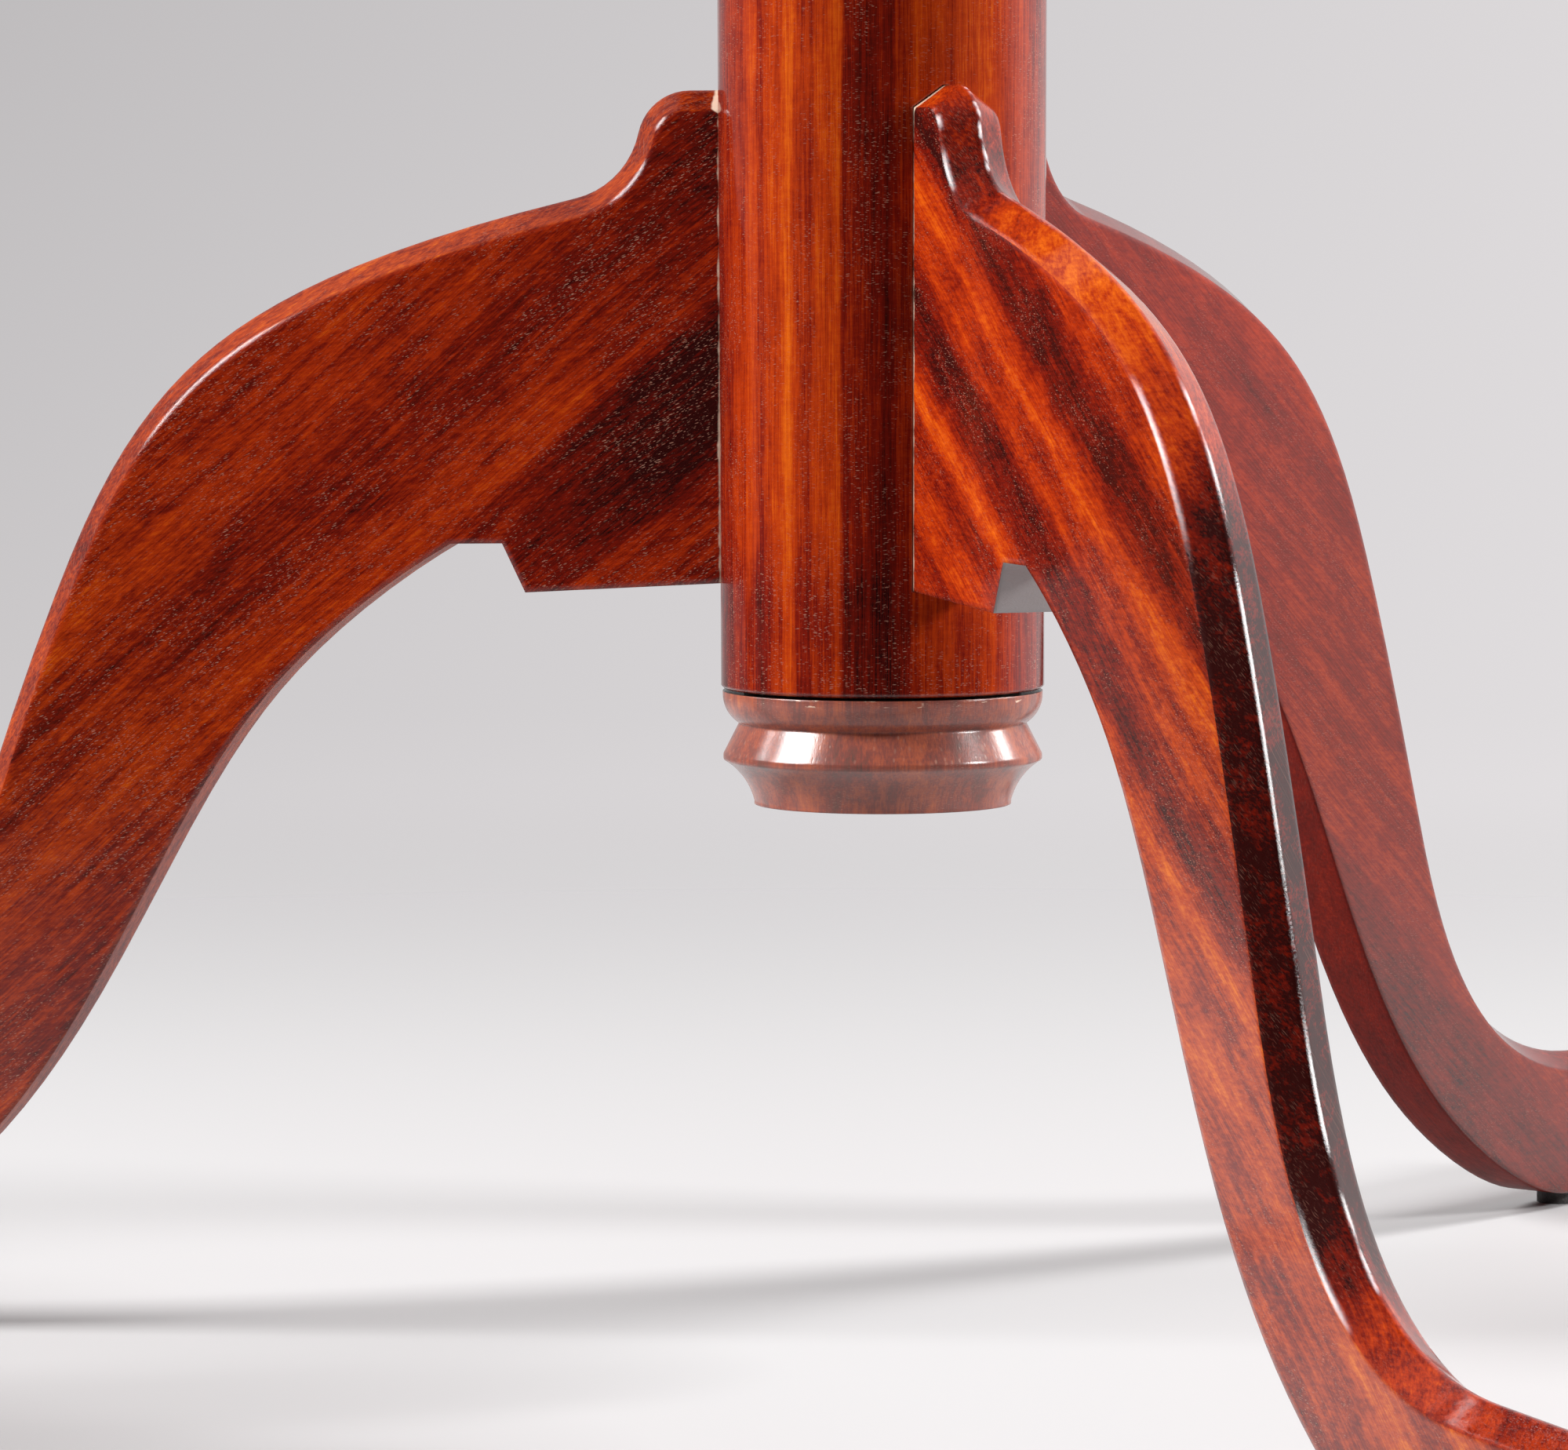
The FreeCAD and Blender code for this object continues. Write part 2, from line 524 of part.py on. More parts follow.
# Leg: S-curved outline cut from a board, then both outer arrises bevelled to a narrow ridge
def leg_outline(body):
    out = Outline(body, "leg_profile", "XZ_Plane")
    tab = out.path([("seat_plane", "tab_height"), ("tab_flat", "tab_height")], closed=False)[0]
    corner = out.arc(("tab_flat", "tab_corner_height"), "tab_corner", 0, RIGHT_ANGLE)
    out.pin(corner, CENTRE, ("tab_flat", "tab_corner_height"))
    out.constrain("Coincident", tab, END, corner, END)
    # The hollow step touches the corner's round and ends on a tangent to the knee's first control point
    reach = size("tab_corner") + size("step_radius")
    rise = math.sqrt(reach ** 2 - (size("step_centre") - size("tab_flat")) ** 2)
    centre = FreeCAD.Vector(size("step_centre"), size("tab_corner_height") + rise, 0)
    touch = math.atan2(-rise, size("tab_flat") - size("step_centre"))
    knee = FreeCAD.Vector(size("knee_in"), size("knee_in_height"), 0)
    span = knee - centre
    leave = math.atan2(span.y, span.x) - math.acos(size("step_radius") / span.Length)
    turn = Part.Circle(centre, UP, size("step_radius"))
    step = out.sketch.addGeometry(Part.ArcOfCircle(turn, touch, leave), False)
    out.measure("Radius", (step,), "step_radius")
    out.centre_over(step, "step_centre")
    out.constrain("Tangent", corner, START, step, START)
    foot = centre + FreeCAD.Vector(math.cos(leave), math.sin(leave), 0) * size("step_radius")
    guide = out.sketch.addGeometry(Part.LineSegment(foot, knee), True)
    out.constrain("Tangent", step, END, guide, START)
    out.pin(guide, END, ("knee_in", "knee_in_height"))
    outer, _ = out.spline([
        ("tab_corner_out", "knee_in_height"), ("knee_in", "knee_in_height"), ("knee_out", "knee_out_height"),
        ("shin_in", "shin_in_height"), ("shin_out", "shin_out_height"), ("ankle_out", "toe_height"),
        ("toe_start", "toe_height")])
    out.constrain("Coincident", step, END, outer, START)
    toe = out.path([("toe_start", "toe_height"), ("toe_flat_end", "toe_height")], closed=False)[0]
    out.join(outer, toe)
    nose = out.arc(("toe_flat_end", "toe_nose_height"), "toe_nose", 0, RIGHT_ANGLE)
    out.centre_over(nose, "toe_flat_end")
    out.constrain("Coincident", toe, END, nose, END)
    sole = out.path([
        ("toe_reach", "toe_nose_height"), ("toe_reach", "pad_thick"), ("heel_out", "pad_thick")], closed=False)
    out.constrain("Coincident", nose, START, sole[0], START)
    inner, _ = out.spline([
        ("heel_out", "pad_thick"), ("heel_in", "pad_thick"), ("calf_out", "calf_out_height"),
        ("calf_in", "calf_in_height"), ("arch_out", "arch_out_height"), ("arch_in", "arch_in_height"),
        ("arch_start", "arch_start_height")])
    out.join(sole[-1], inner)
    block = out.path([
        ("arch_start", "arch_start_height"), ("notch_in", "notch_height"), ("block_out", "block_height_outer"),
        ("seat_plane", "block_height_inner"), ("seat_plane", "tab_height")], closed=False)
    out.join(inner, block[0])
    return out


def outer_arrises(shape):
    """Edges of the leg's outer side that lie in its two faces, from the tab to the sole."""
    half = size("leg_thick") / 2
    near = size("overrun") * TOUCH_SHARE
    names = []
    for index, edge in enumerate(shape.Edges, start=1):
        box = edge.BoundBox
        in_face = box.YLength < near and abs(abs(box.YMin) - half) < near
        middle = edge.valueAt((edge.FirstParameter + edge.LastParameter) / 2)
        if in_face and on_outer_side(middle, box, near):
            names.append("Edge%d" % index)
    return names


def on_outer_side(middle, box, near):
    if box.XLength < near:
        return middle.x > size("toe_flat_end")
    if middle.x < size("tab_corner_out"):
        return middle.z > size("tab_corner_height")
    if middle.x > size("toe_start"):
        return middle.z > size("toe_nose_height")
    slope = (size("toe_height") - size("notch_height")) / (size("toe_start") - size("notch_in"))
    return middle.z > size("notch_height") + slope * (middle.x - size("notch_in")) + size("leg_thick")


def make_leg(name, bearing):
    body = body_named(name, bearing)
    blank = pad_both_ways(body, "leg_blank", leg_outline(body), "leg_thick")
    holes = Outline(body, "dowel_outline", "YZ_Plane", "seat_plane")
    holes.circle((None, "dowel_low"), "dowel_hole")
    holes.circle((None, "dowel_high"), "dowel_hole")
    drilled = cut(body, "dowel_bores", holes, "dowel_hole_out", reverse=True)
    doc.recompute()
    bevelled = body.newObject("PartDesign::Chamfer", "outer_bevels")
    bevelled.Base = (drilled, outer_arrises(drilled.Shape))
    bevelled.ChamferType = "Two distances"
    bind(bevelled, Size="bevel_edge", Size2="bevel_face")
    blank.Visibility = False
    finish(body, bevelled)
    return body


# Dowels that hold the legs, two for each leg
def make_leg_dowels():
    body = body_named("leg_dowels")
    out = Outline(body, "dowel_outline", "YZ_Plane", "-dowel_start")
    out.circle((None, "dowel_low"), "dowel_radius")
    out.circle((None, "dowel_high"), "dowel_radius")
    pair = feature(body, "Pad", "dowel_pair", out, Length="dowel_length")
    pair.Reversed = True
    doc.recompute()
    finish(body, around(body, "all_dowels", [pair]))
    return body


# Pendant and its dowel
def make_pendant():
    body = body_named("pendant")
    out = Outline(body, "pendant_profile", "XZ_Plane")
    rim = out.path([
        (None, "seam_height"), ("boss_radius", "seam_height"), ("boss_radius", "rim_height"),
        ("rim_radius", "rim_height"), ("rim_radius", "shoulder_level")], closed=False)
    drop = (size("groove_height") - size("shoulder_level")) / size("shoulder_round")
    shoulder = out.arc(("shoulder_centre", "shoulder_level"), "shoulder_round", math.asin(drop), 0)
    out.pin(shoulder, CENTRE, ("shoulder_centre", "shoulder_level"))
    out.constrain("Coincident", rim[-1], END, shoulder, END)
    out.measure("DistanceY", (*ORIGIN, shoulder, START), "groove_height")
    groove = size("shoulder_centre") + size("shoulder_round") * math.cos(math.asin(drop))
    flare = out.line(FreeCAD.Vector(groove, size("groove_height"), 0), out.vector(("bead_radius", "bead_top")))
    out.constrain("Coincident", shoulder, START, flare, START)
    bead = out.path([("bead_radius", "bead_top"), ("bead_radius", "bead_low")], closed=False)[0]
    out.join(flare, bead)
    lift = size("bead_low") - size("cove_level")
    cove = out.arc(("cove_centre", "cove_level"), "cove_radius", math.atan2(
        lift, size("bead_radius") - size("cove_centre")), HALF_TURN)
    out.centre_over(cove, "cove_centre")
    out.constrain("Coincident", bead, END, cove, START)
    base = out.path([
        ("base_radius", "cove_level"), ("base_radius", "pendant_bottom"), (None, "pendant_bottom"),
        (None, "seam_height")], closed=False)
    out.constrain("Coincident", cove, END, base[0], START)
    revolve(body, "pendant_turned", out)
    bore = Outline(body, "peg_hole_outline", "XY_Plane", "seam_height")
    bore.circle((None, None), "peg_hole")
    bored = cut(body, "peg_bore", bore, "peg_down")
    doc.recompute()
    softened = body.newObject("PartDesign::Fillet", "bead_rounds")
    softened.Base = (bored, rims_of_radius(bored.Shape, "bead_radius"))
    bind(softened, Radius="bead_round")
    finish(body, softened)
    return body


def rims_of_radius(shape, radius):
    """Round edges about the axis with a named radius."""
    near = size("overrun") * TOUCH_SHARE
    return ["Edge%d" % index for index, edge in enumerate(shape.Edges, start=1)
            if hasattr(edge.Curve, "Radius") and abs(edge.Curve.Radius - size(radius)) < near]


def make_peg():
    body = body_named("pendant_dowel")
    out = Outline(body, "peg_outline", "XY_Plane", "peg_bottom")
    out.circle((None, None), "peg_radius")
    finish(body, feature(body, "Pad", "peg_round", out, Length="peg_length"))
    return body


# Foot pads, round ended strips under the toes
def make_pad(name, bearing):
    body = body_named(name, bearing)
    out = Outline(body, "pad_outline", "XY_Plane")
    inner = out.arc(("pad_in_centre", None), "pad_half", RIGHT_ANGLE, RIGHT_ANGLE + HALF_TURN)
    outer = out.arc(("pad_out_centre", None), "pad_half", -RIGHT_ANGLE, RIGHT_ANGLE)
    low = out.line(out.vector(("pad_in_centre", "-pad_half")), out.vector(("pad_out_centre", "-pad_half")))
    high = out.line(out.vector(("pad_out_centre", "pad_half")), out.vector(("pad_in_centre", "pad_half")))
    out.pin(inner, CENTRE, ("pad_in_centre", None))
    out.pin(outer, CENTRE, ("pad_out_centre", None))
    out.measure("Radius", (inner,), "pad_half")
    out.constrain("Equal", inner, outer)
    out.constrain("Tangent", inner, END, low, START)
    out.constrain("Tangent", low, END, outer, START)
    out.constrain("Tangent", outer, END, high, START)
    out.constrain("Tangent", high, END, inner, START)
    finish(body, feature(body, "Pad", "pad_strip", out, Length="pad_thick"))
    return body


# Table top: a round disc with a moulded edge, in three boards
def make_board(name, low, high, screw_rows):
    body = body_named(name)
    out = Outline(body, "edge_profile", "XZ_Plane")
    under = out.path([
        (None, "board_under"), ("bevel_in", "board_under"), ("top_radius", "edge_low"),
        ("top_radius", "edge_round_level")], closed=False)
    curve = out.arc(("edge_round_centre", "edge_round_level"), "edge_round", 0, RIGHT_ANGLE)
    out.centre_over(curve, "edge_round_centre")
    out.constrain("Coincident", under[-1], END, curve, START)
    over = out.path([
        ("edge_round_centre", "table_height"), (None, "table_height"), (None, "board_under")], closed=False)
    out.constrain("Coincident", curve, END, over[0], START)
    revolve(body, "round_top", out)
    for side, edge in (("low", low), ("high", high)):
        if not edge:
            continue
        away = Outline(body, side + "_waste", "XY_Plane")
        limit = "-board_cut" if side == "low" else "board_cut"
        corners = sorted((edge, limit), key=size)
        away.box(("-board_cut", corners[0]), ("board_cut", corners[1]))
        waste = cut(body, side + "_joint", away)
        waste.SideType = "Symmetric"
    pilots = Outline(body, "pilot_outline", "XY_Plane", "board_under")
    for row in screw_rows:
        for side in ("screw_side", "-screw_side"):
            pilots.circle((side, row), "screw_hole")
    finish(body, cut(body, "pilot_holes", pilots, "pilot_depth", reverse=True))
    return body


# Bearer under the boards, across their grain
def make_bearer():
    body = body_named("top_bearer")
    out = Outline(body, "bearer_profile", "YZ_Plane")
    out.path([
        ("-bearer_half_flat", "shoulder_height"), ("bearer_half_flat", "shoulder_height"),
        ("bearer_half_length", "bearer_end_height"), ("bearer_half_length", "board_under"),
        ("-bearer_half_length", "board_under"), ("-bearer_half_length", "bearer_end_height")])
    pad_both_ways(body, "bearer_blank", out, "bearer_width")
    round_hole = Outline(body, "mortise_outline", "XY_Plane", "shoulder_height")
    round_hole.circle((None, None), "mortise_radius")
    cut(body, "mortise", round_hole, reverse=True)
    spots = Outline(body, "screw_outline", "XY_Plane", "shoulder_height")
    for row in ("screw_near", "-screw_near", "screw_far", "-screw_far"):
        for side in ("screw_side", "-screw_side"):
            spots.circle((side, row), "screw_hole")
    doc.recompute()
    sunk = feature(body, "Hole", "screw_holes", spots, Diameter="screw_hole_diameter")
    sunk.ThreadType = "None"
    sunk.DepthType = "ThroughAll"
    sunk.HoleCutType = "Countersink"
    sunk.HoleCutCustomValues = True
    sunk.HoleCutCountersinkAngle = COUNTERSINK_ANGLE
    bind(sunk, HoleCutDiameter="screw_mouth")
    sunk.Reversed = True
    finish(body, sunk)
    return body


# Screws through the bearer, as one group
def make_screws():
    body = body_named("bearer_screws")
    body.Placement.Base = FreeCAD.Vector(size("-screw_side"), size("-screw_far"), 0)
    body.setExpression("Placement.Base.x", link("-screw_side"))
    body.setExpression("Placement.Base.y", link("-screw_far"))
    out = Outline(body, "screw_profile", "XZ_Plane")
    out.path([
        (None, "screw_base"), ("screw_head", "screw_base"), ("screw_radius", "screw_neck"),
        ("screw_radius", "screw_taper"), (None, "screw_tip")])
    one = revolve(body, "one_screw", out)
    doc.recompute()
    grid = body.newObject("PartDesign::LinearPattern", "all_screws")
    grid.Originals = [one]
    grid.Direction = (axis(body, "X_Axis"), [""])
    grid.Direction2 = (axis(body, "Y_Axis"), [""])
    bind(grid, Length="screw_row", Occurrences="screw_rows", Length2="screw_span", Occurrences2="screws_in_row")
    finish(body, grid)
    return body


def broken(thing):
    return any(word in thing.State for word in ("Invalid", "Error"))


def check_and_export(bodies):
    doc.recompute()
    for thing in doc.Objects:
        if broken(thing):
            raise RuntimeError("%s did not build: %s" % (thing.Name, thing.State))
    for body in bodies:
        shape = body.Shape
        if shape.isNull() or not shape.isValid() or not shape.Solids:
            raise RuntimeError("%s has no sound solid" % body.Label)
        shape.exportStep("parts/%s.step" % body.Label)
        print("%-18s %d solids, %.1f cm3" % (body.Label, len(shape.Solids), shape.Volume / CUBIC_CENTIMETRE))


check_and_export([
    make_column(),
    make_wedge(),
    make_leg("leg_left", "left_bearing"),
    make_leg("leg_front", "front_bearing"),
    make_leg("leg_rear", "rear_bearing"),
    make_leg_dowels(),
    make_pendant(),
    make_peg(),
    make_pad("foot_pad_left", "left_bearing"),
    make_pad("foot_pad_front", "front_bearing"),
    make_pad("foot_pad_rear", "rear_bearing"),
    make_board("top_board_left", None, "-middle_half", ("-screw_far",)),
    make_board("top_board_middle", "-middle_half", "middle_half", ("-screw_near", "screw_near")),
    make_board("top_board_right", "middle_half", None, ("screw_far",)),
    make_bearer(),
    make_screws(),
])
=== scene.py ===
import math

import bpy
from mathutils import Matrix, Vector


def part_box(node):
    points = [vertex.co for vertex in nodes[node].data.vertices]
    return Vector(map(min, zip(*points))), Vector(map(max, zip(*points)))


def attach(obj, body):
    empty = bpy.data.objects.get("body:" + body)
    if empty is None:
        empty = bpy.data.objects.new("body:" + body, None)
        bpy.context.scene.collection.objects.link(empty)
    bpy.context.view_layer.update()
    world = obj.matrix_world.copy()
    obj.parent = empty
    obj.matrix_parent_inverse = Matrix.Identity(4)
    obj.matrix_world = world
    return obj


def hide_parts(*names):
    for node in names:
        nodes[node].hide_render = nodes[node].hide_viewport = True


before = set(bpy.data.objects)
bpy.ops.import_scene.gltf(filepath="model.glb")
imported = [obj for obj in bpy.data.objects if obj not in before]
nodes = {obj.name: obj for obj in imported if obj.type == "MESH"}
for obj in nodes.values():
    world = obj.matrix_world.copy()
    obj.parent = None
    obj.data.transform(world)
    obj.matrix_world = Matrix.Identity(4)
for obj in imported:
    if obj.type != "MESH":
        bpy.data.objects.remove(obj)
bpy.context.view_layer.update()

# Camera of the photograph, from the fitted base
IMAGE_WIDTH = 1999
FOCAL_PIXELS = 8103
SENSOR_WIDTH = 36
CAMERA_PLACE = Vector((0.163669, -1.177975, 0.210011))
CAMERA_HEADING = math.radians(8.802)
CAMERA_TILT = math.radians(90 - 4.383)
CAMERA_ROLL = math.radians(-0.108)
# Bearing of the column from the camera: lights and stripes are placed to the viewer's left and right
VIEW_HEADING = math.radians(7.91)
TO_RIGHT = Vector((math.cos(VIEW_HEADING), math.sin(VIEW_HEADING), 0))
TO_BACK = Vector((-math.sin(VIEW_HEADING), math.cos(VIEW_HEADING), 0))

# Sizes of the base that the finishes follow
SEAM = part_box("column")[0][2]
LEG_END = -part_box("leg_left")[1][0]
TAB_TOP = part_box("leg_left")[1][2]
COLUMN_RADIUS = 0.0303
NOTCH_OUT = (0.0660, 0.0722)
NOTCH_UP = (0.1432, 0.1532)
LEG_BEARINGS = {"leg_left": 180, "leg_front": 300, "leg_rear": 60}
GRAIN_FALL = {"leg_left": 40, "leg_front": 36, "leg_rear": 37}
FLECK_FALL = {"leg_left": 20, "leg_front": 3, "leg_rear": 8}


class Shade:
    """Builds one node tree with few words."""

    def __init__(self, tree):
        self.tree = tree
        tree.nodes.clear()

    def node(self, kind, **settings):
        made = self.tree.nodes.new(kind)
        for key, value in settings.items():
            setattr(made, key, value)
        return made

    def feed(self, socket, value):
        if isinstance(value, bpy.types.NodeSocket):
            self.tree.links.new(value, socket)
        elif value is not None:
            socket.default_value = value

    def place(self):
        return self.node("ShaderNodeTexCoord").outputs["Object"]

    def facing(self):
        return self.node("ShaderNodeNewGeometry").outputs["Normal"]

    def sum(self, kind, a, b=None, c=None):
        made = self.node("ShaderNodeMath", operation=kind)
        for socket, value in zip(made.inputs, (a, b, c)):
            self.feed(socket, value)
        return made.outputs[0]

    def times(self, *factors):
        total = factors[0]
        for factor in factors[1:]:
            total = self.sum("MULTIPLY", total, factor)
        return total

    def dot(self, vector, way):
        made = self.node("ShaderNodeVectorMath", operation="DOT_PRODUCT")
        self.feed(made.inputs[0], vector)
        made.inputs[1].default_value = way
        return made.outputs["Value"]

    def parts(self, vector):
        made = self.node("ShaderNodeSeparateXYZ")
        self.feed(made.inputs[0], vector)
        return made.outputs

    def join(self, x, y, z):
        made = self.node("ShaderNodeCombineXYZ")
        for socket, value in zip(made.inputs, (x, y, z)):
            self.feed(socket, value)
        return made.outputs[0]

    def turn(self, vector, turned=(0, 0, 0), stretch=(1, 1, 1), shift=(0, 0, 0)):
        made = self.node("ShaderNodeMapping")
        self.feed(made.inputs["Vector"], vector)
        made.inputs["Rotation"].default_value = [math.radians(angle) for angle in turned]
        made.inputs["Scale"].default_value = stretch
        made.inputs["Location"].default_value = shift
        return made.outputs[0]

    def noise(self, vector, stretch, detail=2, rough=0.5, warp=0):
        """Noise from 0 to 1; the stretch is its cells for each metre."""
        made = self.node("ShaderNodeTexNoise")
        self.feed(made.inputs["Vector"], self.turn(vector, stretch=stretch))
        made.inputs["Scale"].default_value = 1
        made.inputs["Detail"].default_value = detail
        made.inputs["Roughness"].default_value = rough
        made.inputs["Distortion"].default_value = warp
        return made.outputs["Fac"]

    def swing(self, vector, stretch, detail, rough, warp=0, reach=0.2):
        """Noise about nought, from -0.5 to 0.5; a smaller reach makes it harder."""
        made = self.noise(vector, stretch, detail, rough, warp)
        return self.span(made, 0.5 - reach, 0.5 + reach, -0.5, 0.5)

    def cells(self, vector, stretch):
        made = self.node("ShaderNodeTexVoronoi", voronoi_dimensions="2D")
        self.feed(made.inputs["Vector"], self.turn(vector, stretch=stretch))
        made.inputs["Scale"].default_value = 1
        return made.outputs["Distance"], made.outputs["Color"]

    def span(self, value, low, high, to_low=0, to_high=1, smooth=True):
        """Maps low to to_low and high to to_high, and stops there."""
        made = self.node("ShaderNodeMapRange", interpolation_type="SMOOTHSTEP" if smooth else "LINEAR")
        self.feed(made.inputs["Value"], value)
        limits = {"From Min": low, "From Max": high, "To Min": to_low, "To Max": to_high}
        for name, number in limits.items():
            self.feed(made.inputs[name], number)
        return made.outputs[0]

    def within(self, value, limits, soft):
        """One inside the limits, fading to nothing outside them."""
        low, high = limits
        return self.times(self.span(value, low - soft, low), self.span(value, high + soft, high))

    def ramp(self, value, stops, mode="EASE"):
        made = self.node("ShaderNodeValToRGB")
        band = made.color_ramp
        band.interpolation = mode
        while len(band.elements) < len(stops):
            band.elements.new(0.5)
        for element, (place, colour) in zip(band.elements, stops):
            element.position = place
            element.color = (*colour, 1)
        self.feed(made.inputs[0], value)
        return made.outputs[0]

    def tones(self, value, stops):
        """A tone that follows a distance: the stops are millimetres and tone."""
        low, high = stops[0][0], stops[-1][0]
        greys = [((mm - low) / (high - low), (tone, tone, tone)) for mm, tone in stops]
        return self.parts(self.ramp(self.span(value, low / 1000, high / 1000, smooth=False), greys))[0]

    def mix(self, share, a, b, how="MIX"):
        """Colour a with a share of colour b."""
        made = self.node("ShaderNodeMix", data_type="RGBA", blend_type=how)
        for socket, value in zip((made.inputs[0], made.inputs[6], made.inputs[7]), (share, a, b)):
            self.feed(socket, (*value, 1) if isinstance(value, tuple) else value)
        return made.outputs[2]

    def warm(self, share, colour, more):
        """More yellow in a red colour."""
        return self.mix(share, colour, (1, more, 1), "MULTIPLY")

    def between(self, share, a, b):
        made = self.node("ShaderNodeMix", data_type="FLOAT")
        for socket, value in zip((made.inputs[0], made.inputs[2], made.inputs[3]), (share, a, b)):
            self.feed(socket, value)
        return made.outputs[0]

    def bump(self, height, strength, distance, over=None):
        made = self.node("ShaderNodeBump")
        made.inputs["Strength"].default_value = strength
        made.inputs["Distance"].default_value = distance
        self.feed(made.inputs["Height"], height)
        self.feed(made.inputs["Normal"], over)
        return made.outputs[0]

    def softened_arris(self, radius):
        """Normal that turns smoothly over sharp edges, as sanded and lacquered ones do."""
        made = self.node("ShaderNodeBevel", samples=6)
        made.inputs["Radius"].default_value = radius
        return made.outputs[0]

    def principled(self, settings):
        made = self.node("ShaderNodeBsdfPrincipled")
        for name, value in settings.items():
            self.feed(made.inputs[name], value)
        return made.outputs[0]

    def surface(self, shader):
        self.feed(self.node("ShaderNodeOutputMaterial").inputs[0], shader)


def new_material(name):
    made = bpy.data.materials.new(name)
    made.use_nodes = True
    return made, Shade(made.node_tree)


# Colours of the wood from the darkest stripe to the palest, of what lies on it, and of painted haze,
# reflection and shade
DEEP = (0.025, 0.0009, 0.0005)
BROWN = (0.15, 0.0050, 0.0006)
RED = (0.36, 0.0250, 0.0010)
ORANGE = (0.56, 0.0780, 0.0030)
PALE = (0.74, 0.1700, 0.0080)
WOOD_COLOURS = [(0.0, DEEP), (0.25, BROWN), (0.50, RED), (0.75, ORANGE), (1.0, PALE)]
FLECK = (0.44, 0.23, 0.16)
# Painted haze: a grey veil laid on the wood's colour that stands in for the lacquer's reflections
HAZE_GREY = (0.34, 0.22, 0.18)
GLUE = (0.86, 0.66, 0.50)
# Painted reflection: grey laid on the notch walls for the bright floor that they mirror
NOTCH_REFLECTION_GREY = (0.30, 0.275, 0.275)
# Painted shade inside the open joint above the pendant
SEAM_SHADE_DARK = (0.012, 0.006, 0.004)

# Patterns in the wood: cells for each metre along, through and across the grain, and their kind
RIBBON = dict(stretch=(2.5, 40, 120), detail=3, rough=0.6)
STREAK = dict(stretch=(9, 300, 560), detail=4, rough=0.65)
HAIR = dict(stretch=(60, 1600, 2600), detail=3, rough=0.7)
FIBRE = dict(stretch=(420, 900, 1700), detail=3, rough=0.65)
MOTTLE = dict(stretch=(55, 110, 130), detail=4, rough=0.65, warp=0.5)
FLAME = dict(stretch=(190, 420, 520), detail=3, rough=0.65, warp=0.8, reach=0.18)
WANDER_CELLS = (9, 18, 18)
PATCH_CELLS = (60, 110, 130)
PATCH_EDGES = (0.35, 0.65)
SWELL_CELLS = (150, 150, 150)
RIBBON_WEIGHT = 0.08
STREAK_WEIGHT = 0.16
HAIR_WEIGHT = 0.18
LEAST_FLAME = 0.06
FLAME_TONES = (0.30, 0.75)
WARM_TONES = (0.25, 0.42)
SEED_SHIFT = (1, 0.37, 0.61)
# Pores: lengths and widths, how far they fill these, and the share of places without one
PORE_SIZES = ((0.0017, 0.00036), (0.0010, 0.00026))
PORE_SLANT = 1.7
LEAST_REACH = 0.08
MORE_REACH = 0.27
PORE_CORE = 0.4
PORE_FADE = 0.6
MOST_BARE = 0.74
LEAST_BARE = 0.32
# They show less on pale wood and on bevels
FLECK_TONES = (0.15, 0.6)
FLECK_ON_PALE = 0.25
FLECK_ON_BEVEL = 0.5
# Relief of the wood and of the lacquer over it
WOOD_RELIEF = dict(strength=0.12, distance=0.0004)
FILM_RELIEF = dict(strength=0.06, distance=0.0006)
DARK_ROUGHNESS = 0.55
PALE_ROUGHNESS = 0.42
PORE_DEPTH = 0.8
FILM_SINK = 0.35
FILM_GRAIN = 0.12
# Where a finish changes: metres along a leg's grain, out from the column's axis, or up
BEND_ALONG = (-0.03, 0.10)
CALM_ALONG = (-0.03, 0.06)
MELLOW_ALONG = (-0.04, 0.07)
CALM_TONE = 0.36
DUSK_OUT = (0.031, 0.066)
HEART_OUT = (0.09, 0.045)
HEART_SOFT = 0.005
FOOT_UP = (SEAM + 0.014, SEAM + 0.034)
# How far a leg's face looks sideways where it is flat, and where it is bevel
FLAT_TO_BEVEL = (0.92, 0.75)
# The inner edge of a leg, which looks inwards and down, has little lacquer
INNER_TO_OUTER = (-0.45, -0.05)
INNER_LACQUER = 0.2


